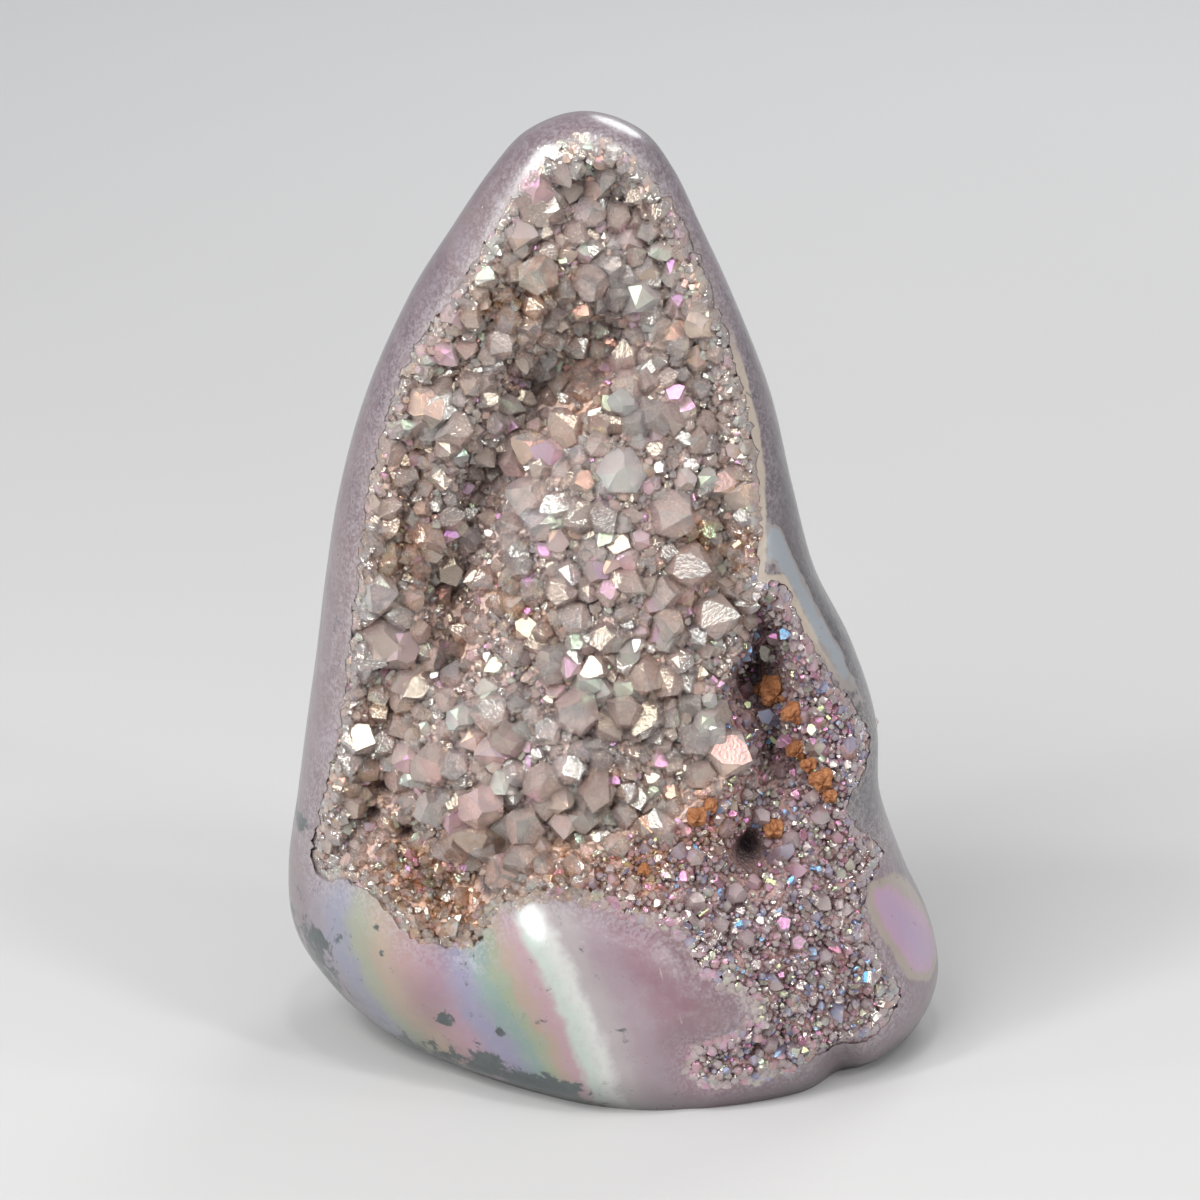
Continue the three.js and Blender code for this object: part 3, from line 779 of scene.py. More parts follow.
def grow(rng, x, z, size, lean, sunk, films, proud=PROUD, stretch=STRETCH, aim=None):
    """Points at X, Z on the bed. Each leans by up to `lean` degrees from straight out, and stands
    at the bed or, near the rim, as much deeper as keeps its tip within the polished face."""
    count = len(x)
    stretched = rng.uniform(*stretch, count)
    which = rng.integers(0, len(POINTS), count)
    reach = size * stretched * POINT_TOPS[which]
    foot = np.maximum(bed_front(x, z) + size * sunk, polished_front(x, z) + reach - proud)
    if aim is None:
        aim = outward(x, z) + np.tan(np.radians(lean)) * (rng.random((count, 3)) * 2 - 1)
    place = np.stack([x, foot, z], axis=-1)
    spin = rng.uniform(0, math.pi, count)
    arrays = crystal_arrays(POINTS, which, place, aim, size, spin, stretched)
    arrays["points"] = ground_flush(arrays["points"])
    tone = np.clip(rng.normal(*TONE, count), 0, 1)
    film = rng.choice(len(films), count, p=films)
    arrays["tone"] = tone[arrays["copy"]]
    # Painted shade: how deep in the trough each point stands, which darkens its colour.
    arrays["shade"] = smooth((bed_depth(x, z) - SHADE_START) / SHADE_SPAN)[arrays["copy"]]
    arrays["stain"] = stain_at(x, z)[arrays["copy"]]
    lone = rng.random(len(arrays["face_copy"])) < LONE_FACES
    other = rng.choice(len(films), len(lone), p=films)
    arrays["finish"] = np.where(lone, other, film[arrays["face_copy"]]).astype(np.int32)
    arrays["facet"] = rng.random(len(arrays["face_copy"]))
    return arrays


print("points reach", POINT_TOPS.min().round(2), "to", POINT_TOPS.max().round(2), "of their radius")

# %% [markdown]
# A real crust has points of every size wedged between each other. It is grown here as it is in
# nature, the large ones first and then each smaller size on the ground still open. Last come small
# points crowded along the rim, which fill the ragged edge of the cut.

# %% Layers of points
RIM_SPACING = 0.95
RIM_SPREAD = 0.8
RIM_REACH = (0.3, 2.5)
RIM_SIZES = (0.55, 1.0)
RIM_LEAN = 30
RIM_SUNK = -0.2
RIM_GROUND = 1.2


def layer(rng, outline, placed, films, spacing, sizes, lean, sunk, margin, proud=PROUD, waves=False):
    """Points of one range of sizes between the larger ones, and the list of all the places taken."""
    x, z = spread(rng, outline, spacing, margin)
    size = rng.uniform(*sizes, len(x))
    if waves:
        size *= coarseness(x, z)
    kept = clear_of_pits(x, z, size) & open_ground(x, z, placed)
    x, z, size = x[kept], z[kept], size[kept]
    return grow(rng, x, z, size, lean, sunk, films, proud), np.hstack([placed, [x, z, size]])


def rim_points(rng, outline, films):
    """Small points crowded along the rim, standing up through the polished face, so that they are
    ground off level with it and fill the ragged edge of the cut."""
    x, z = spread(rng, outline, RIM_SPACING, -RIM_SPREAD)
    edge = to_outline(x, z, OPENING)
    least, span = RIM_REACH
    near = (edge > -RIM_SPREAD) & (edge < span * rng.random(len(x)) + least)
    x, z = x[near], z[near]
    size = rng.uniform(*RIM_SIZES, len(x))
    return grow(rng, x, z, size, RIM_LEAN, RIM_SUNK, films, RIM_GROUND)


def grown_crust(rng, outline, layers, films, parts, placed):
    """The parts already there, one more for each layer, and the rim."""
    for values in layers:
        part, placed = layer(rng, outline, placed, films, **values)
        parts.append(part)
    return parts + [rim_points(rng, outline, films)]


def triangles_in(parts):
    """A face of n corners is n - 2 triangles."""
    return sum(int((p["lengths"] - 2).sum()) for p in parts)


print("rim points stand", RIM_SPACING, "mm apart")

# %% [markdown]
# The main crust has twenty points that catch the eye. They stand where the plain model has them, so
# its solid and this surface agree, and everything else grows between them.

# %% The main crust
# Shares of the finishes among the points: clear, milky, then the gold, rose and lilac films.
QUARTZ_FILMS = (0.42, 0.3, 0.1, 0.1, 0.08)
LARGE_SLIMNESS = 0.85
LARGE_SUNK = -0.1
LARGE_PROUD = 1.2
LARGE_STRETCH = (1.0, 1.2)
# X, Z, radius, lean to the right and lean upwards in degrees.
LARGE_POINTS = np.array([
    [-6, 60.5, 4.3, 8, 20], [-11.5, 126, 3.9, -6, 10], [-4, 124.5, 3.5, 5, 8],
    [-34.5, 99, 4, 20, 18], [-28, 51.5, 4.1, -5, 30], [-20.5, 46.5, 4.2, 12, 15],
    [-33.5, 68, 4.4, 14, -8], [-36, 77, 4, 16, 10], [1, 97, 4.3, 4, 12], [8, 90, 4.4, 10, 6],
    [-7.5, 102, 4, -10, 18], [16.8, 53, 4.4, 30, -5], [15.5, 74, 4.4, 20, 4],
    [-11, 50.5, 4, 10, 26], [-40, 54, 3.6, 18, 12], [-13.5, 42.5, 3.9, -8, 20],
    [-12.5, 92, 3.8, -16, 12], [11, 82.5, 4, 14, -6], [-19, 60, 4, -12, 14], [4.5, 66, 4.1, 6, -12],
])
CRUST_LAYERS = [
    dict(spacing=4.1, sizes=(1.7, 2.9), lean=30, sunk=0.1, margin=0.8, waves=True),
    dict(spacing=2.7, sizes=(1.1, 1.8), lean=38, sunk=0.15, margin=0.5, waves=True),
    dict(spacing=1.7, sizes=(0.55, 1.05), lean=45, sunk=0.2, margin=0.2, waves=True),
    dict(spacing=1.05, sizes=(0.36, 0.75), lean=55, sunk=0.2, margin=0.1, proud=0.5),
]


def large_points(rng):
    """The points that catch the eye, at the plain model's places and leans, a little slimmer."""
    x, z, size, right, up = LARGE_POINTS.T
    lean = np.stack([np.tan(np.radians(right)), 0 * x, np.tan(np.radians(up))], axis=-1)
    aim = outward(x, z) + lean
    return grow(rng, x, z, size * LARGE_SLIMNESS, 0, LARGE_SUNK, QUARTZ_FILMS, LARGE_PROUD,
                LARGE_STRETCH, aim)


crust_rng = np.random.default_rng(5)
crust_parts = grown_crust(crust_rng, HOLLOW, CRUST_LAYERS, QUARTZ_FILMS, [large_points(crust_rng)],
                          LARGE_POINTS.T[:3])
crust = new_object("quartz_crust", mesh_from_arrays("quartz_crust", crust_parts))
print("quartz crust:", triangles_in(crust_parts), "triangles")

# %% [markdown]
# The side recess is lined with druse: the same quartz, but so fine that it sparkles like sugar, with
# a few larger points among it. The same layers make it, only smaller and closer together.

# %% Fine druse in the recess
# Shares of the finishes among the points: clear, violet, teal and gold.
DRUSE_FILMS = (0.46, 0.24, 0.14, 0.16)
DRUSE_LAYERS = [
    dict(spacing=5.2, sizes=(1.0, 1.7), lean=38, sunk=0.15, margin=0.8, proud=0.4),
    dict(spacing=2.1, sizes=(0.5, 0.95), lean=48, sunk=0.2, margin=0.3, proud=0.4),
    dict(spacing=0.9, sizes=(0.3, 0.54), lean=58, sunk=0.2, margin=0.1, proud=0.4),
]

druse_rng = np.random.default_rng(17)
druse_parts = grown_crust(druse_rng, RECESS, DRUSE_LAYERS, DRUSE_FILMS, [], np.empty((3, 0)))
druse = new_object("fine_druse_points", mesh_from_arrays("fine_druse_points", druse_parts))
print("fine druse:", triangles_in(druse_parts), "triangles")

# %% [markdown]
# Between the points the matrix shows: a lumpy sheet of intergrown quartz, brown with iron in its
# hollows. It is a grid over X and Z pushed back to the bed, with a little thickness, so that it is
# closed all round. It runs on a little under the rim, so no light leaks past its edge.

# %% The bed under the points
# Waves of the sheet: how tight and how high.
BED_LUMPS = ((0.9, 0.55), (1.7, 0.3), (3.1, 0.16))
SHEET_THICKNESS = 0.8
SHEET_STEP = 0.8
SHEET_OVERLAP = 0.9
SHEET_BACK = 0.35
SHEET_TUCK = 0.3
SHEET_FADE = 2.5


def lumps(x, z):
    """Sum of sine products at three scales, each turned against the last."""
    total = np.zeros(np.shape(x))
    for k, (pitch, height) in enumerate(BED_LUMPS):
        turn = 0.7 + 1.1 * k
        u, v = x * math.cos(turn) + z * math.sin(turn), z * math.cos(turn) - x * math.sin(turn)
        total += height * np.sin(pitch * u + k) * np.sin(pitch * v + 2 * k)
    return total


def bed_sheet(name, outline):
    """Grid cells whose four corners lie inside the outline or within the overlap outside it: the
    bed, set back a little, plus the lumps, which fade out at the rim while the sheet tucks under."""
    x, z = np.meshgrid(np.arange(-FIELD_SIDE, FIELD_SIDE + 1, SHEET_STEP),
                       np.arange(FIELD_LOW + 2, FIELD_HIGH - 2, SHEET_STEP))
    edge = smooth(to_outline(x, z, OPENING) / SHEET_FADE)
    y = bed_front(x, z) + SHEET_BACK + lumps(x, z) * edge + SHEET_TUCK * (1 - edge)
    rows, columns = x.shape
    keep = (to_outline(x, z, outline) > -SHEET_OVERLAP).reshape(-1)
    faces = grid_faces(rows, columns, closed=False)
    faces = faces[keep[faces].all(axis=1)]
    used = np.unique(faces)
    number = np.full(rows * columns, -1)
    number[used] = np.arange(len(used))
    front = np.stack([x, y, z], axis=-1).reshape(-1, 3)[used]
    faces = number[faces]
    back = front + [0, SHEET_THICKNESS, 0]
    edges = np.concatenate([faces[:, [k, (k + 1) % 4]] for k in range(4)])
    key = {tuple(e) for e in edges.tolist()}
    rim = [e for e in edges.tolist() if (e[1], e[0]) not in key]
    total = len(used)
    sides = [[b, a, a + total, b + total] for a, b in rim]
    every = faces.tolist() + (faces[:, ::-1] + total).tolist() + sides
    return new_object(name, new_mesh(name, np.vstack([front, back]), every))


crust_bed = bed_sheet("crust_bed", HOLLOW)
druse_bed = bed_sheet("druse_bed", RECESS)
for sheet in (crust_bed, druse_bed):
    make_normals_outward(sheet)
print("bed sheets:", len(crust_bed.data.polygons), "and", len(druse_bed.data.polygons), "faces")

# %% [markdown]
# Crumbs of iron oxide lie in the recess: soft, crumbly, rust-orange lumps that never take a polish.
# Each is a sphere of two angles whose radius wanders with three waves, and all are one mesh.

# %% Iron oxide crumbs
# Each crumb: X, Z and radius. The first four are the plain model's.
OXIDE_CRUMBS = np.array([
    [25, 59.5, 2.5], [28.5, 51, 1.7], [32, 47.5, 1.8], [24.5, 40.5, 1.6], [27.6, 57.6, 1.7],
    [30.2, 49.2, 1.3], [12.5, 45.2, 1.5], [14.6, 46.6, 1.1], [22.3, 58.4, 1.2], [33.2, 45.4, 1.1],
    [4.5, 37.6, 1.0],
])


CRUMB_COLUMNS = 26
CRUMB_ROWS = 15
CRUMB_POLE = 0.02
CRUMB_RISE = 0.35


def oxide_lumps():
    """Radius times (1 + 0.22 sin(3u + k) sin(2v + k) + 0.14 sin(5u + 2k) sin 4v
    + 0.09 sin(9u + k) sin(7v + k)) for crumb number k, set on the bed and a little sunk into it.
    The first and the last row close with one many-sided face each."""
    u = np.linspace(0, 2 * math.pi, CRUMB_COLUMNS, endpoint=False)[None, :]
    v = np.linspace(CRUMB_POLE, math.pi - CRUMB_POLE, CRUMB_ROWS)[:, None]
    around = np.stack([np.sin(v) * np.cos(u), np.cos(v) + 0 * u, np.sin(v) * np.sin(u)], axis=-1)
    count = CRUMB_COLUMNS * CRUMB_ROWS
    points, faces = [], []
    for k, (x, z, radius) in enumerate(OXIDE_CRUMBS):
        swell = 1 + 0.22 * np.sin(3 * u + k) * np.sin(2 * v + k)
        swell = swell + 0.14 * np.sin(5 * u + 2 * k) * np.sin(4 * v)
        swell = swell + 0.09 * np.sin(9 * u + k) * np.sin(7 * v + k)
        foot = bed_front(np.array([x]), np.array([z]))[0] - radius * CRUMB_RISE
        points.append((radius * swell[..., None] * around + [x, foot, z]).reshape(-1, 3))
        grid = grid_faces(CRUMB_ROWS, CRUMB_COLUMNS, closed=True) + k * count
        first, last = grid[:CRUMB_COLUMNS, 0], grid[-CRUMB_COLUMNS:, 3]
        faces += grid[:, ::-1].tolist() + [first.tolist(), last[::-1].tolist()]
    return new_object("iron_oxide", new_mesh("iron_oxide", np.concatenate(points), faces))


oxide = oxide_lumps()
make_normals_outward(oxide)
print("iron oxide crumbs:", len(OXIDE_CRUMBS))

# %% [markdown]
# The colours of the stone follow what lies on it, so the mesh carries measures for the material to
# read: millimetres to the rim of the opening, to the edge of the pale chalcedony patch and to the
# edge of the oval facet at the right foot, the place along the rainbow bands of the lip, how strong
# the metal film shows, and how much dark rind is left. Distances keep an edge crisp at any size,
# because the material draws the line, not the mesh.

# %% Measures on the stone
PATCH = np.array([(23.3, 88), (25.6, 86.6), (27.6, 82), (30.3, 76.8), (33.2, 71.1), (36.2, 65.5),
                  (38.4, 60.7), (40.4, 56), (38.2, 56.2), (36.2, 60.4), (33.2, 65.2), (30.6, 70),
                  (28.0, 75.2), (25.4, 80.6), (23.2, 83.2)], float)
OVAL = np.array([(40, 30.2), (43.4, 29.4), (47, 25), (50.6, 19.6), (52.6, 14.8), (50.2, 12.4),
                 (46.8, 14.4), (44.2, 19), (41.4, 23.8), (39.8, 27.6)], float)
VEIN = (5.3, 27.5, 10.2, 15.5)
BAND_LEAN = 0.4
BAND_LEVEL = 23
# Dark spots of rind in the polished lip: X, Z and radius.
SPOTS = [(-26.2, 11.9, 1.5), (-36.9, 26.3, 0.7), (-11.4, 15.9, 1.0), (-8.4, 1.3, 3.2),
         (-49.4, 37.7, 1.4), (-46.1, 20.5, 1.6), (-17.5, 12.5, 0.9), (-19.5, 6.5, 1.8),
         (-14.5, 3.2, 1.6), (-35.9, 22.4, 0.5)]
# How far outside a measure is taken to be behind the stone, and how fast the patch and the oval
# run out towards the back, where an outline seen from the front no longer means anything.
FAR = 30
BACKWARDS = 0.3


def band_place(x, z):
    """Place along the rainbow: X less a shift. At the left the bands follow the stone's own edge
    round to the foot, further right they are straight and lean to the right as they run down."""
    edge_shift = section_at(z)[..., 1] - section_at(np.array([BAND_LEVEL]))[0, 1]
    hugging = smooth((-16 - x) / 28)
    return x - hugging * edge_shift - (1 - hugging) * BAND_LEAN * (BAND_LEVEL - z)


def rind_left(x, y, z):
    """How much dark rind is left, 0 to 1: low at the left, along the edge of the foot, and in
    streaks over the back."""
    left, back, low = smooth((-38 - x) / 10), smooth((y + 4) / 22), smooth((34 - z) / 26)
    streak = 0.5 + 0.5 * np.sin(0.16 * z + 0.05 * x + 1.5 * np.sin(0.07 * y))
    edge = smooth((11 - z) / 9) * smooth((6 - x) / 18)
    total = left * low * (0.75 + 0.3 * back) + 0.7 * edge + back * (0.25 + 0.5 * streak * low)
    return np.clip(total, 0, 1)


def bells(x, z, places):
    """The sum over the places of exp(-(distance / radius)^2)."""
    return sum(np.exp(-(((x - sx) ** 2 + (z - sz) ** 2) / radius**2)) for sx, sz, radius in places)


def stone_measures(points):
    """Rim, patch and oval are signed distances seen from the front, positive inside. The others
    are amounts from 0 to 1, each a product of S-curves along X, Y and Z."""
    x, y, z = points.T
    front = smooth((6 - y) / 6)
    upper_right = smooth((x - 12) / 8) * smooth((z - 60) / 12) * smooth((120 - z) / 8)
    return {
        "rim": to_outline(x, z, OPENING) * front - FAR * (1 - front),
        "patch": to_outline(x, z, PATCH) - BACKWARDS * np.maximum(y + 12, 0),
        "oval": to_outline(x, z, OVAL) - BACKWARDS * np.maximum(y + 4, 0),
        "band": band_place(x, z),
        "spots": bells(x, z, SPOTS) * front,
        "vein": to_segment(x, z, *VEIN) + FAR * (1 - front),
        "agate": (0.08 + 0.75 * upper_right) * front,
        # Painted shade of the right side, with a deeper mauve of its own.
        "shaded_flank": smooth((x - 16) / 16) * smooth((y + 26) / 16) * smooth((z - 30) / 14),
        "film": smooth((38 - z) / 10) * smooth((-6 - y) / 12),
        # Painted shade near the floor: how much the foot is darkened.
        "foot": smooth((9 - z) / 9) * smooth((8 - y) / 20),
        "rind": rind_left(x, y, z),
    }


print("measures of a point:", len(stone_measures(np.zeros((1, 3)))))

# %% [markdown]
# The measures go onto the meshes as attributes, one number a point, which a material reads by name.
# The bed sheets get the same iron stain as the crystals on them, and painted shade in the pits.

# %% Attributes on the meshes
def read_points(mesh):
    """The mesh's points in millimetres."""
    values = np.empty(len(mesh.vertices) * 3, np.float32)
    mesh.vertices.foreach_get("co", values)
    return values.reshape(-1, 3).astype(float) / MM


def mark_points(mesh, measures):
    """One attribute of the mesh for each measure."""
    for name, values in measures.items():
        data = mesh.attributes.new(name, "FLOAT", "POINT").data
        data.foreach_set("value", values.astype(np.float32))


mark_points(body.data, stone_measures(read_points(body.data)))
for sheet in (crust_bed, druse_bed):
    x, y, z = read_points(sheet.data).T
    pit = sum(np.exp(-(((x - px) ** 2 + (z - pz) ** 2) / radius**2) ** 2) for px, pz, radius in PITS)
    mark_points(sheet.data, {"stain": stain_at(x, z), "pit": np.clip(pit, 0, 1)})
print("measures:", [a.name for a in body.data.attributes if a.data_type == "FLOAT"])

# %% [markdown]
# Materials are trees of nodes. A few small helpers keep them readable: one adds a node with its
# values, one joins a value or a socket to an input, and the rest are short names for mixing.

# %% Helpers for materials
def srgb(red, green, blue):
    """A colour as a painter picks it, 0 to 255, in the linear numbers that Blender works in."""
    value = np.array([red, green, blue]) / 255
    return (*np.where(value <= 0.04045, value / 12.92, ((value + 0.055) / 1.055) ** 2.4), 1.0)


def put(tree, value, socket):
    """Joins a socket to an input, or sets a plain value on it."""
    if isinstance(value, bpy.types.NodeSocket):
        tree.links.new(value, socket)
    else:
        socket.default_value = value


def add(tree, kind, settings=None, **inputs):
    """A node of a kind, with settings of its own and values or sockets for its inputs."""
    made = tree.nodes.new("ShaderNode" + kind)
    for name, value in (settings or {}).items():
        setattr(made, name, value)
    for name, value in inputs.items():
        put(tree, value, made.inputs[name.replace("_", " ")])
    return made


def math_of(tree, operation, *values, clamp=False):
    """The result of one sum on values or sockets."""
    made = add(tree, "Math", {"operation": operation, "use_clamp": clamp})
    for value, socket in zip(values, made.inputs):
        put(tree, value, socket)
    return made.outputs[0]


def blend(tree, share, first, second, how="MIX"):
    """Two colours mixed, or laid over each other in another way, by a share."""
    made = add(tree, "Mix", {"data_type": "RGBA", "blend_type": how})
    for value, index in ((share, 0), (first, 6), (second, 7)):
        put(tree, value, made.inputs[index])
    return made.outputs[2]


def step(tree, value, low, high):
    """0 below low, 1 above high and an S-curve between."""
    made = add(tree, "MapRange", {"interpolation_type": "SMOOTHSTEP"}, Value=value)
    made.inputs["From Min"].default_value = low
    made.inputs["From Max"].default_value = high
    return made.outputs[0]


print("a mid grey of 128 is", round(float(srgb(128, 128, 128)[0]), 3), "in linear light")

# %% [markdown]
# Patterns come from three sources: the mesh's own measures, the place in millimetres, and noise at
# that place. A ramp turns any number into a colour.

# %% Measures, places and patterns
def mark(tree, name):
    """One of the mesh's own measures."""
    return add(tree, "Attribute", {"attribute_name": name}).outputs["Fac"]


def millimetres(tree):
    """Object coordinates in millimetres, so that every pattern's scale is per millimetre."""
    place = add(tree, "TexCoord").outputs["Object"]
    return add(tree, "Mapping", Vector=place, Scale=(1000, 1000, 1000)).outputs[0]


def noise(tree, place, scale, detail=3.0, rough=0.5, distortion=0.0):
    """Cloudy noise around a half, with so many waves to the millimetre."""
    made = add(tree, "TexNoise", Vector=place, Scale=scale, Detail=detail, Roughness=rough)
    made.inputs["Distortion"].default_value = distortion
    return made.outputs["Fac"]


def ramp(tree, value, stops, interpolation="LINEAR"):
    """A colour looked up by a value along a list of places and colours."""
    made = add(tree, "ValToRGB", Fac=value)
    band = made.color_ramp
    band.interpolation = interpolation
    for place, colour in stops[1:-1]:
        band.elements.new(place).color = colour
    band.elements[0].position, band.elements[0].color = stops[0]
    band.elements[-1].position, band.elements[-1].color = stops[-1]
    return made.outputs[0]


def new_material(name):
    """A material with one Principled surface and nothing else."""
    material = bpy.data.materials.new(name)
    material.use_nodes = True
    tree = material.node_tree
    tree.nodes.clear()
    output = add(tree, "OutputMaterial")
    surface = add(tree, "BsdfPrincipled")
    tree.links.new(surface.outputs[0], output.inputs[0])
    return material, tree, surface


print("materials before ours:", sorted(m.name for m in bpy.data.materials))

# %% [markdown]
# Two effects are used by more than one material, so each is a node group. Iron stain turns a colour
# rusty by an amount, broken up by noise, because rust creeps along cracks. Aura gives the rainbow of
# the metal film: as the film thickens the colour runs round from gold to rose, lilac, blue and mint.

# %% Shared effects
GOLD = srgb(214, 184, 148)
ROSE = srgb(206, 150, 170)
LILAC = srgb(172, 160, 206)
BLUE = srgb(150, 176, 214)
MINT = srgb(168, 206, 180)


def new_group(name, inputs, outputs):
    """An empty node group with named inputs and outputs, and its two end nodes."""
    group = bpy.data.node_groups.new(name, "ShaderNodeTree")
    for label, kind, value in inputs:
        socket = group.interface.new_socket(label, in_out="INPUT", socket_type=kind)
        socket.default_value = value
    for label, kind in outputs:
        group.interface.new_socket(label, in_out="OUTPUT", socket_type=kind)
    return group, group.nodes.new("NodeGroupInput"), group.nodes.new("NodeGroupOutput")


def stain_group():
    """Rust laid over a colour where a patchy noise, times the amount, is high."""
    group, given, made = new_group(
        "iron stain", [("Color", "NodeSocketColor", (0.5, 0.5, 0.5, 1)),
                       ("Amount", "NodeSocketFloat", 0.5)], [("Color", "NodeSocketColor")])
    place = millimetres(group)
    patchy = noise(group, place, 0.6, 3.0, 0.62)
    share = math_of(group, "MULTIPLY", given.outputs["Amount"], step(group, patchy, 0.3, 0.58))
    rust = ramp(group, noise(group, place, 0.9, 2.0), [
        (0.3, srgb(150, 84, 46)), (0.5, srgb(206, 142, 88)), (0.7, srgb(232, 184, 136))])
    group.links.new(blend(group, share, given.outputs["Color"], rust), made.inputs["Color"])
    return group


def aura_group():
    """The rainbow of the film, once round for each whole number of the phase."""
    group, given, made = new_group(
        "aura", [("Phase", "NodeSocketFloat", 0.0)], [("Color", "NodeSocketColor")])
    turn = math_of(group, "FRACT", given.outputs["Phase"])
    colour = ramp(group, turn, [(0.0, GOLD), (0.2, ROSE), (0.42, LILAC), (0.62, BLUE),
                                (0.8, MINT), (1.0, GOLD)])
    group.links.new(colour, made.inputs["Color"])
    return group


STAIN = stain_group()
AURA = aura_group()


def use_group(tree, group, **inputs):
    """A node group placed in a material, with its own values."""
    made = tree.nodes.new("ShaderNodeGroup")
    made.node_tree = group
    for name, value in inputs.items():
        put(tree, value, made.inputs[name])
    return made.outputs[0]


print("groups:", STAIN.name, "and", AURA.name)

# %% [markdown]
# Quartz is half clear and half milky here. Most of the light passes plainly into it, bent by
# quartz's index of 1.54, and the rest scatters at the surface, so the points glow like frosted
# glass over their pale bed. Scattering inside the stone would look like porcelain instead.
# The metal film sits on top. Two finishes have a film too thin to show a colour, and the others
# differ in its thickness, which gives their faces gold, rose, lilac or teal flashes. A share of faces
# also gets the film's rainbow in its colour, as painted glints. The roots are painted darker and
# browner than the tips, and the points deep in the trough darker still, both as painted shade; each
# crystal has a tone of its own.

# %% Quartz finishes
QUARTZ_INDEX = 1.54
FILM_INDEX = 1.95
SHIMMER = 0.22
DIMMING = 0.35
TROUGH_SHADE = srgb(176, 146, 142)


def quartz_finish(name, film, clearness, phase, pale, milky, deep, mauve, glints):
    """A film's thickness in nanometres, how much light passes through, where the shimmer starts on
    the rainbow, four body colours, two for the tips and two darker ones for the roots as painted shade,
    and the share of faces that get a painted glint of the rainbow."""
    material, tree, surface = new_material(name)
    rise, tone, stain, facet = (mark(tree, m) for m in ("rise", "tone", "stain", "facet"))
    place = millimetres(tree)
    cloud = noise(tree, place, 0.35, 1.0)
    body_tone = math_of(tree, "ADD", math_of(tree, "MULTIPLY", tone, 0.75),
                        math_of(tree, "MULTIPLY", cloud, 0.25))
    # Painted shade down the points: the roots are darker and browner than the tips.
    tip = blend(tree, body_tone, milky, pale)
    root = blend(tree, body_tone, deep, mauve)
    colour = blend(tree, step(tree, rise, 0.4, 0.9), root, tip)
    amount = math_of(tree, "MULTIPLY", stain, math_of(tree, "SUBTRACT", 1.6, rise), clamp=True)
    colour = use_group(tree, STAIN, Color=colour, Amount=amount)
    # Painted glints: a share of faces takes the film's rainbow into its colour.
    shimmer = use_group(tree, AURA, Phase=math_of(tree, "ADD", facet, phase))
    painted_glints = math_of(tree, "MULTIPLY", math_of(tree, "GREATER_THAN", facet, 1 - glints), SHIMMER)
    colour = blend(tree, painted_glints, colour, shimmer)
    # Painted shade: points deep in the trough are darkened towards the trough shade colour.
    dim = math_of(tree, "MULTIPLY", mark(tree, "shade"), DIMMING)
    colour = blend(tree, dim, colour, TROUGH_SHADE, "MULTIPLY")
    put(tree, colour, surface.inputs["Base Color"])
    put(tree, math_of(tree, "MULTIPLY_ADD", facet, 0.16, 0.04), surface.inputs["Roughness"])
    growth = noise(tree, place, 2.0, 2.0, 0.6)
    bump = add(tree, "Bump", Height=growth, Strength=0.3, Distance=0.0003)
    put(tree, bump.outputs[0], surface.inputs["Normal"])
    surface.inputs["IOR"].default_value = QUARTZ_INDEX
    surface.inputs["Transmission Weight"].default_value = clearness
    surface.inputs["Thin Film Thickness"].default_value = film
    surface.inputs["Thin Film IOR"].default_value = FILM_INDEX
    return material


# Body colours, then the thickness of the film, the clearness and the phase of each finish.
CLEAR_TONES = dict(pale=srgb(254, 245, 243), milky=srgb(252, 234, 228), deep=srgb(246, 221, 213),
                   mauve=srgb(244, 227, 230), glints=0.08)
MILKY_TONES = dict(pale=srgb(240, 222, 219), milky=srgb(227, 203, 196), deep=srgb(198, 170, 162),
                   mauve=srgb(206, 182, 185), glints=0.08)
for name, film, clearness, phase, tones in (
    ("quartz_clear", 72, 0.8, 0.5, CLEAR_TONES), ("quartz_milky", 84, 0.68, 0.1, MILKY_TONES),
    ("quartz_gold", 207, 0.65, 0.0, CLEAR_TONES), ("quartz_rose", 250, 0.65, 0.2, CLEAR_TONES),
    ("quartz_lilac", 275, 0.65, 0.4, CLEAR_TONES),
):
    crust.data.materials.append(quartz_finish(name, film, clearness, phase, **tones))

DRUSE_TONES = dict(pale=srgb(226, 208, 212), milky=srgb(200, 178, 180), deep=srgb(150, 122, 122),
                   mauve=srgb(160, 134, 144), glints=0.16)
for name, film, clearness, phase in (
    ("druse_clear", 76, 0.55, 0.35), ("druse_violet", 268, 0.5, 0.4), ("druse_teal", 170, 0.5, 0.6),
    ("druse_gold", 212, 0.5, 0.05),
):
    druse.data.materials.append(quartz_finish(name, film, clearness, phase, **DRUSE_TONES))
print("quartz and druse finishes:", len(crust.data.materials) + len(druse.data.materials))

# %% [markdown]
# The matrix between the points is dull and brown with a sparkle of tiny faces, which a cell pattern
# gives its roughness and bump. It is paler under the quartz, where it has to shine through the
# points. The oxide is matt: it is earth, not crystal, and takes no film.

# %% Matrix and oxide finishes
PIT_SHADE = srgb(74, 62, 64)


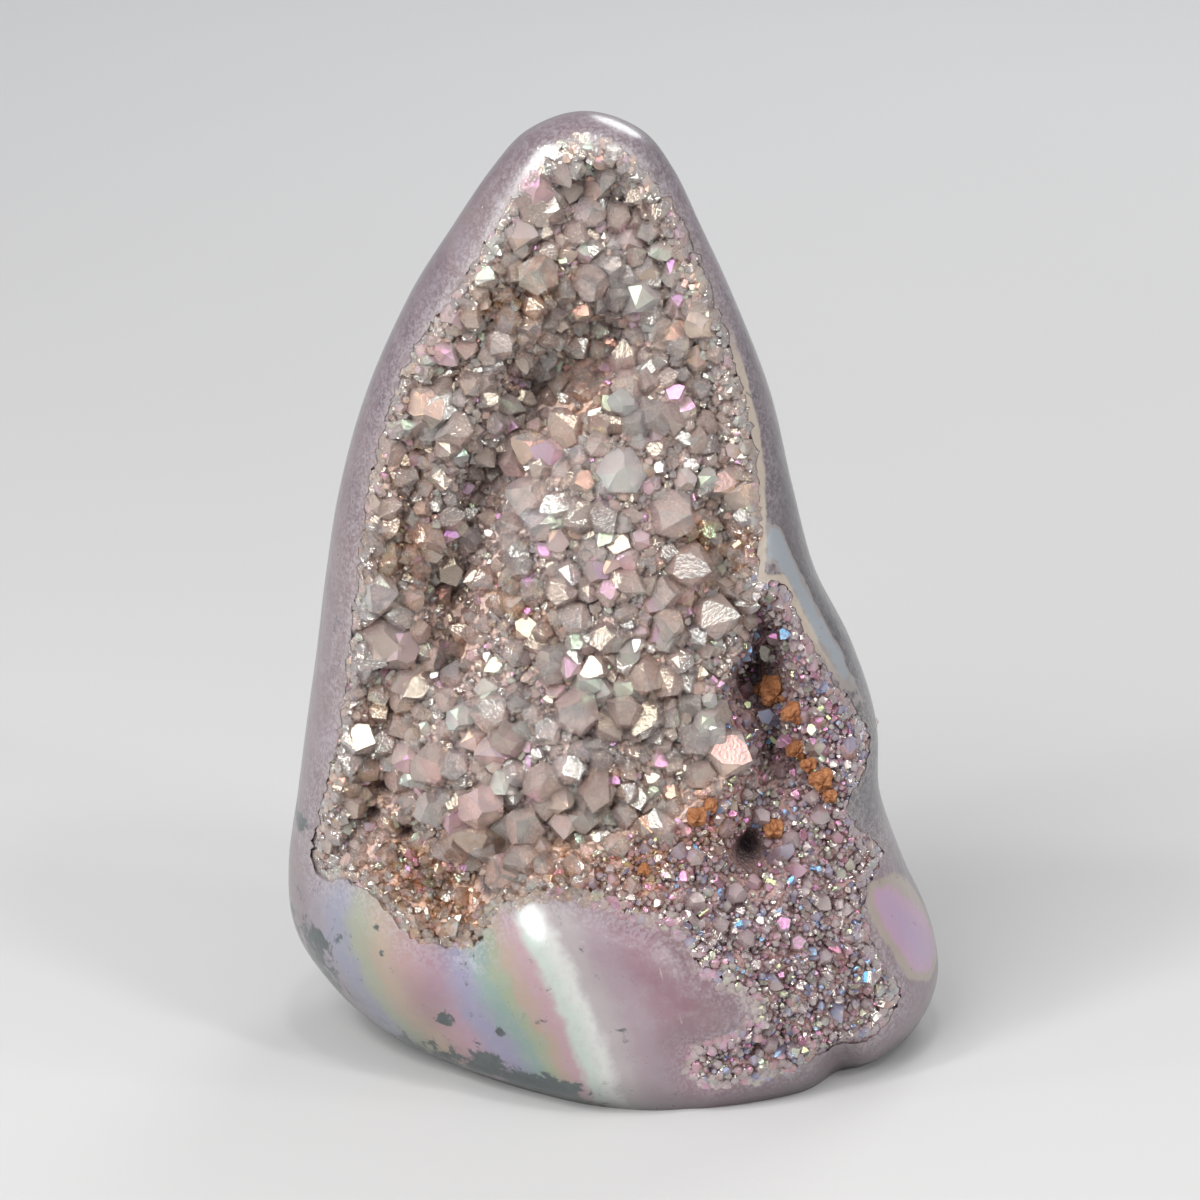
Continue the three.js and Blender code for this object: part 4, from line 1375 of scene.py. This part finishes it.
def matrix_finish(name, dark, middle, pale):
    """Three body colours by noise, rust where the crust is stained, and painted shade in the pits."""
    material, tree, surface = new_material(name)
    place = millimetres(tree)
    colour = ramp(tree, noise(tree, place, 0.3, 5.0, 0.6), [(0.3, dark), (0.55, middle), (0.75, pale)])
    amount = math_of(tree, "MULTIPLY_ADD", mark(tree, "stain"), 0.75, 0.1)
    colour = use_group(tree, STAIN, Color=colour, Amount=amount)
    # Painted shade: the pits between the crystals are darkened.
    colour = blend(tree, mark(tree, "pit"), colour, PIT_SHADE)
    put(tree, colour, surface.inputs["Base Color"])
    grain = add(tree, "TexVoronoi", Vector=place, Scale=1.7)
    put(tree, step(tree, grain.outputs["Color"], 0.0, 1.0), surface.inputs["Roughness"])
    bump = add(tree, "Bump", Height=grain.outputs["Distance"], Strength=0.7, Distance=0.0006)
    put(tree, bump.outputs[0], surface.inputs["Normal"])
    return material


def oxide_finish():
    """Rust-orange by noise, quite rough, with a crumbly bump."""
    material, tree, surface = new_material("iron_oxide")
    place = millimetres(tree)
    colour = ramp(tree, noise(tree, place, 1.3, 6.0, 0.65), [
        (0.3, srgb(134, 76, 44)), (0.5, srgb(184, 120, 76)), (0.72, srgb(210, 154, 106))])
    put(tree, colour, surface.inputs["Base Color"])
    surface.inputs["Roughness"].default_value = 0.85
    bump = add(tree, "Bump", Height=noise(tree, place, 2.6, 6.0, 0.7), Strength=0.9, Distance=0.0008)
    put(tree, bump.outputs[0], surface.inputs["Normal"])
    return material


crust_bed.data.materials.append(matrix_finish(
    "crust_matrix", srgb(206, 181, 172), srgb(230, 208, 200), srgb(242, 228, 223)))
druse_bed.data.materials.append(matrix_finish(
    "druse_matrix", srgb(128, 100, 98), srgb(164, 136, 134), srgb(194, 170, 170)))
oxide.data.materials.append(oxide_finish())
print("bed finishes:", crust_bed.data.materials[0].name, "and", druse_bed.data.materials[0].name)

# %% [markdown]
# The polished lip carries the film's rainbow: lilac, green, tan, pink and teal bands, a pearl-white
# ridge, which is a painted highlight, and then mauve and rose. On the real stone the bands are the
# film's thickness. Here they are a list of places and colours, looked up along the band measure. A film
# worked out from thickness
# alone would shift with the camera and couldn't be matched.

# %% Colours of the lip
SEEN_SHARE = 0.66
FILM_GREY = 0.2
NEUTRAL = (138, 122, 126)


def seen(red, green, blue):
    """The surface colour that looks like this one once the scene's light has lifted it."""
    return (*(np.array(srgb(red, green, blue)[:3]) * SEEN_SHARE), 1.0)


# Place along the bands in millimetres, and the colour seen there.
BANDS = [
    (-52, seen(150, 136, 140)), (-46, seen(162, 152, 166)), (-42.5, seen(152, 158, 184)),
    (-39, seen(172, 180, 146)), (-35.4, seen(198, 170, 138)), (-31.5, seen(190, 142, 140)),
    (-28, seen(186, 136, 156)), (-23.2, seen(150, 146, 186)), (-19.5, seen(128, 170, 156)),
    (-17.5, seen(160, 178, 132)), (-15.3, seen(198, 164, 138)), (-12.6, seen(206, 158, 168)),
    # The pearl-white stops at -10.2 and -7.2 are a painted highlight along the ridge of the lip.
    (-10.2, seen(222, 240, 226)), (-7.2, seen(250, 252, 246)), (-4.8, seen(200, 188, 188)),
    (0, seen(176, 148, 160)), (6, seen(158, 102, 122)), (13, seen(134, 86, 100)),
    (22, seen(130, 96, 108)),
]
BAND_START, BAND_END = BANDS[0][0], BANDS[-1][0]


def banded_film(tree, place):
    """The lip's rainbow: the band measure, swayed by noise, looked up in a ramp of named places."""
    sway = math_of(tree, "MULTIPLY_ADD", noise(tree, place, 0.05, 3.0), 7.0, -3.5)
    ragged = math_of(tree, "MULTIPLY_ADD", noise(tree, place, 0.28, 4.0, 0.65), 4.0, -2.0)
    along = math_of(tree, "ADD", mark(tree, "band"), math_of(tree, "ADD", sway, ragged))
    share = add(tree, "MapRange", Value=along)
    share.inputs["From Min"].default_value = BAND_START
    share.inputs["From Max"].default_value = BAND_END
    reach = BAND_END - BAND_START
    bands = ramp(tree, share.outputs[0], [((p - BAND_START) / reach, c) for p, c in BANDS], "EASE")
    return blend(tree, FILM_GREY, bands, seen(*NEUTRAL))


print("bands:", len(BANDS), "over", BAND_END - BAND_START, "mm")

# %% [markdown]
# Under and around the film the stone is mauve chalcedony, cloudy and streaked, with a fine pale
# speckle. At the right it is painted darker over the flank, as painted shade of the shadow side with
# a deeper mauve of its own. Along the rim the polish cuts through crystal roots, which show as pale
# cells, and a veil of paler clouds lies over all of it.

# %% Colours of the chalcedony
def stone_body_colour(tree, place):
    """Mauve chalcedony: broad clouds, streaks drawn out upwards, then fine pale speckle."""
    clouds = noise(tree, place, 0.045, 6.0, 0.6, 0.8)
    colour = ramp(tree, clouds, [(0.3, seen(92, 72, 80)), (0.45, seen(122, 98, 106)),
                                 (0.58, seen(136, 112, 114)), (0.75, seen(150, 134, 144))])
    drawn = add(tree, "Mapping", Vector=place, Scale=(1.0, 1.0, 0.16)).outputs[0]
    streaks = step(tree, noise(tree, drawn, 0.5, 6.0, 0.7), 0.52, 0.72)
    colour = blend(tree, math_of(tree, "MULTIPLY", streaks, 0.35), colour, seen(174, 164, 174))
    speckle = step(tree, noise(tree, place, 2.4, 2.0, 0.8), 0.6, 0.72)
    return blend(tree, math_of(tree, "MULTIPLY", speckle, 0.4), colour, seen(192, 186, 194))


def filmed_stone(tree, place, wander):
    """The body colour, painted darker on the right side as painted shade with a deeper mauve, then the
    bands, the veil and the cut crystal roots.
    """
    colour = stone_body_colour(tree, place)
    # Painted shade on the right side of the stone, with a deeper mauve of its own.
    shaded_flank = math_of(tree, "MULTIPLY", mark(tree, "shaded_flank"), 0.95)
    colour = blend(tree, shaded_flank, colour, srgb(92, 54, 60), "MULTIPLY")
    film = math_of(tree, "MULTIPLY", mark(tree, "film"), 0.86)
    colour = blend(tree, film, colour, banded_film(tree, place))
    clouds = step(tree, noise(tree, place, 0.5, 6.0, 0.75), 0.45, 0.7)
    colour = blend(tree, math_of(tree, "MULTIPLY", clouds, 0.3), colour, seen(176, 164, 168))
    roots = step(tree, add(tree, "TexVoronoi", Vector=place, Scale=2.4).outputs["Color"], 0.3, 0.8)
    rim = math_of(tree, "ADD", mark(tree, "rim"), wander)
    cut = math_of(tree, "MULTIPLY", step(tree, rim, -6.0, 0.0), roots)
    return blend(tree, math_of(tree, "MULTIPLY", cut, 0.4), colour, seen(206, 196, 202))


print("body colours ready")

# %% [markdown]
# Single marks are laid over that: a thin pale vein, the pale blue patch with its brown edge, the
# lilac oval with its cream edge, and the cream agate line along the rim. Each edge is a distance
# that wanders by noise, because a stone has no ruled lines.

# %% Veins, patches and the agate line
def line_mask(tree, distance, near, far, soft):
    """1 between two distances from an edge, softened at both."""
    return math_of(tree, "MULTIPLY", step(tree, distance, near - soft, near + soft),
                   math_of(tree, "SUBTRACT", 1.0, step(tree, distance, far - soft, far + soft)))


def marked_stone(tree, colour, wander):
    """The vein, the patch, the oval and the agate line, one over the other."""
    vein = math_of(tree, "ABSOLUTE", math_of(tree, "MULTIPLY_ADD", wander, 0.3, mark(tree, "vein")))
    thin = math_of(tree, "SUBTRACT", 1.0, step(tree, vein, 0.05, 0.22))
    colour = blend(tree, math_of(tree, "MULTIPLY", thin, 0.5), colour, seen(214, 200, 184))
    patch = math_of(tree, "ADD", mark(tree, "patch"), math_of(tree, "MULTIPLY", wander, 0.8))
    colour = blend(tree, step(tree, patch, -0.5, -0.3), colour, seen(164, 152, 146))
    colour = blend(tree, step(tree, patch, -0.1, 0.3), colour, seen(166, 171, 178))
    oval = math_of(tree, "ADD", mark(tree, "oval"), math_of(tree, "MULTIPLY", wander, 0.6))
    colour = blend(tree, step(tree, oval, -0.8, -0.2), colour, seen(178, 160, 146))
    sheen = use_group(tree, AURA, Phase=math_of(tree, "MULTIPLY_ADD", oval, 0.05, 0.2))
    lilac = blend(tree, 0.6, sheen, srgb(132, 110, 130))
    colour = blend(tree, step(tree, oval, 0.2, 1.0), colour, lilac)
    edge = math_of(tree, "MULTIPLY_ADD", wander, 0.35, mark(tree, "rim"))
    agate = math_of(tree, "MULTIPLY", line_mask(tree, edge, -0.9, 1.5, 0.2), mark(tree, "agate"))
    return blend(tree, agate, colour, seen(216, 196, 174))


def rind_over(tree, place, colour):
    """Dark green rind where its measure, the spots and a mottled noise add up past a level, and
    the foot painted a little darker all round, as painted shade near the floor."""
    mottle = noise(tree, place, 0.32, 7.0, 0.7, 0.4)
    spots = math_of(tree, "MULTIPLY", mark(tree, "spots"), 0.36)
    dark = math_of(tree, "MULTIPLY_ADD", mark(tree, "rind"), 0.34, spots)
    rind = step(tree, math_of(tree, "ADD", dark, mottle), 0.62, 0.72)
    green = ramp(tree, noise(tree, place, 0.9, 4.0), [(0.35, srgb(8, 14, 16)), (0.7, srgb(38, 54, 52))])
    colour = blend(tree, rind, colour, green)
    # Painted shade near the floor: the foot is darkened all round.
    foot = math_of(tree, "MULTIPLY", mark(tree, "foot"), 0.75)
    return blend(tree, foot, colour, srgb(150, 140, 140), "MULTIPLY")


print("marks ready")

# %% [markdown]
# The finish is a hand polish with the film over it: glossy but not a mirror, with a clear coat for
# the depth of the polish, faint pits and slow waves. The film's own thickness is near the neutral
# one, since its colours are already in the bands.

# %% Polished stone finish
STONE_COAT = 0.45
STONE_COAT_ROUGHNESS = 0.16
STONE_FILM = 72
STONE_FILM_INDEX = 1.8


def stone_finish():
    """All the colours into one surface, with its roughness, its bump and its film."""
    material, tree, surface = new_material("polished_stone")
    place = millimetres(tree)
    wander = math_of(tree, "MULTIPLY_ADD", noise(tree, place, 0.4, 4.0), 2.4, -1.2)
    colour = marked_stone(tree, filmed_stone(tree, place, wander), wander)
    put(tree, rind_over(tree, place, colour), surface.inputs["Base Color"])
    rough = math_of(tree, "MULTIPLY_ADD", noise(tree, place, 0.8, 4.0), 0.25, 0.2)
    put(tree, rough, surface.inputs["Roughness"])
    pits = step(tree, noise(tree, place, 1.1, 3.0, 0.6), 0.66, 0.8)
    hollows = math_of(tree, "MULTIPLY", pits, 0.5)
    height = math_of(tree, "SUBTRACT", noise(tree, place, 0.25, 3.0), hollows)
    bump = add(tree, "Bump", Height=height, Strength=0.25, Distance=0.0005)
    put(tree, bump.outputs[0], surface.inputs["Normal"])
    surface.inputs["IOR"].default_value = QUARTZ_INDEX
    surface.inputs["Coat Weight"].default_value = STONE_COAT
    surface.inputs["Coat Roughness"].default_value = STONE_COAT_ROUGHNESS
    surface.inputs["Thin Film Thickness"].default_value = STONE_FILM
    surface.inputs["Thin Film IOR"].default_value = STONE_FILM_INDEX
    return material


SHARP_ANGLE = 40
body.data.materials.clear()
body.data.materials.append(stone_finish())
body.data.polygons.foreach_set("use_smooth", np.ones(len(body.data.polygons), bool))
body.data.set_sharp_from_angle(angle=math.radians(SHARP_ANGLE))
print("stone finish has", len(body.data.materials[0].node_tree.nodes), "nodes")

# %% [markdown]
# The floor is plain and pale, so that nothing competes with the stone. It is a little lighter
# further back, which keeps it even in the picture where the lamps reach it less.

# %% Floor finish
def floor_finish():
    """Pale grey by a faint noise, blended to a lighter grey along Y."""
    material, tree, surface = new_material("floor")
    place = add(tree, "TexCoord").outputs["Object"]
    depth = add(tree, "SeparateXYZ", Vector=place).outputs["Y"]
    near = blend(tree, noise(tree, place, 3.0), srgb(186, 185, 184), srgb(192, 191, 190))
    colour = blend(tree, step(tree, depth, 0.1, 1.6), near, srgb(236, 236, 236))
    put(tree, colour, surface.inputs["Base Color"])
    surface.inputs["Roughness"].default_value = 0.7
    return material


floor.data.materials.append(floor_finish())
print("floor finish has", len(floor.data.materials[0].node_tree.nodes), "nodes")

# %% [markdown]
# Light: a pale room, one large soft lamp from the upper left, a weak one from the right, one from
# behind, and seven small ones round the front, because a crystal face only flashes when it mirrors
# something small and bright. How large a lamp looks from the stone sets how soft its shadows are.
# Light is followed over three bounces only, which is enough over a pale bed and renders fast.

# %% World and lamps
# Name, place in metres, width in metres and power in watts.
LAMPS = [
    ("key", (-0.55, -0.75, 0.8), 0.9, 11.5), ("fill", (0.9, -0.5, 0.5), 0.6, 0.8),
    ("back", (0.35, 0.8, 0.8), 0.5, 3.0),
]
FLASH_PLACES = [
    (-0.9, -0.25, 0.3), (0.9, -0.25, 0.35), (0.0, -0.2, 1.1), (0.45, -0.4, 0.85), (-0.5, -0.3, 0.85),
    (-0.75, -0.55, 0.55), (0.7, -0.6, 0.6),
]
FLASH_SIZE = 0.11
FLASH_POWER = 1.3
LAMP_TARGET = np.array([0, 0, 0.07])
ROOM_COLOUR = (0.86, 0.88, 0.92, 1)
ROOM_STRENGTH = 0.5
BOUNCES = 3


def lamp(name, place, size, power):
    """A disk that looks down its own Z axis, tipped by the angle between straight down and the
    target, then turned about the upright to face it."""
    data = bpy.data.lights.new(name, "AREA")
    data.shape, data.size, data.energy = "DISK", size, power
    made = bpy.data.objects.new(name, data)
    made.location = place
    right, away, up = LAMP_TARGET - np.array(place)
    made.rotation_euler = (math.atan2(math.hypot(right, away), -up), 0, math.atan2(-right, away))
    bpy.context.collection.objects.link(made)


world = bpy.data.worlds.new("pale room")
world.use_nodes = True
room = world.node_tree.nodes["Background"]
room.inputs["Color"].default_value = ROOM_COLOUR
room.inputs["Strength"].default_value = ROOM_STRENGTH
for values in LAMPS:
    lamp(*values)
for k, place in enumerate(FLASH_PLACES):
    lamp("flash_%d" % k, place, FLASH_SIZE, FLASH_POWER)
scene = bpy.context.scene
scene.world = world
scene.view_settings.view_transform = "Standard"
scene.cycles.max_bounces = BOUNCES
scene.cycles.transmission_bounces = BOUNCES
print("lamps:", len(LAMPS) + len(FLASH_PLACES))

# %% [markdown]
# Last, each piece is tied to the imported model: it rides on the one body, the three finished pieces
# take the place of the plain nodes, and each has the slot of its material. The dressed stone must
# stay within the plain model's box.

# %% Ride and hidden plain nodes
for piece in (body, crust, crust_bed, druse, druse_bed, oxide):
    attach(piece, "root")
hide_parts("polished_stone")
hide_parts("crystal_crust")
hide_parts("fine_druse")
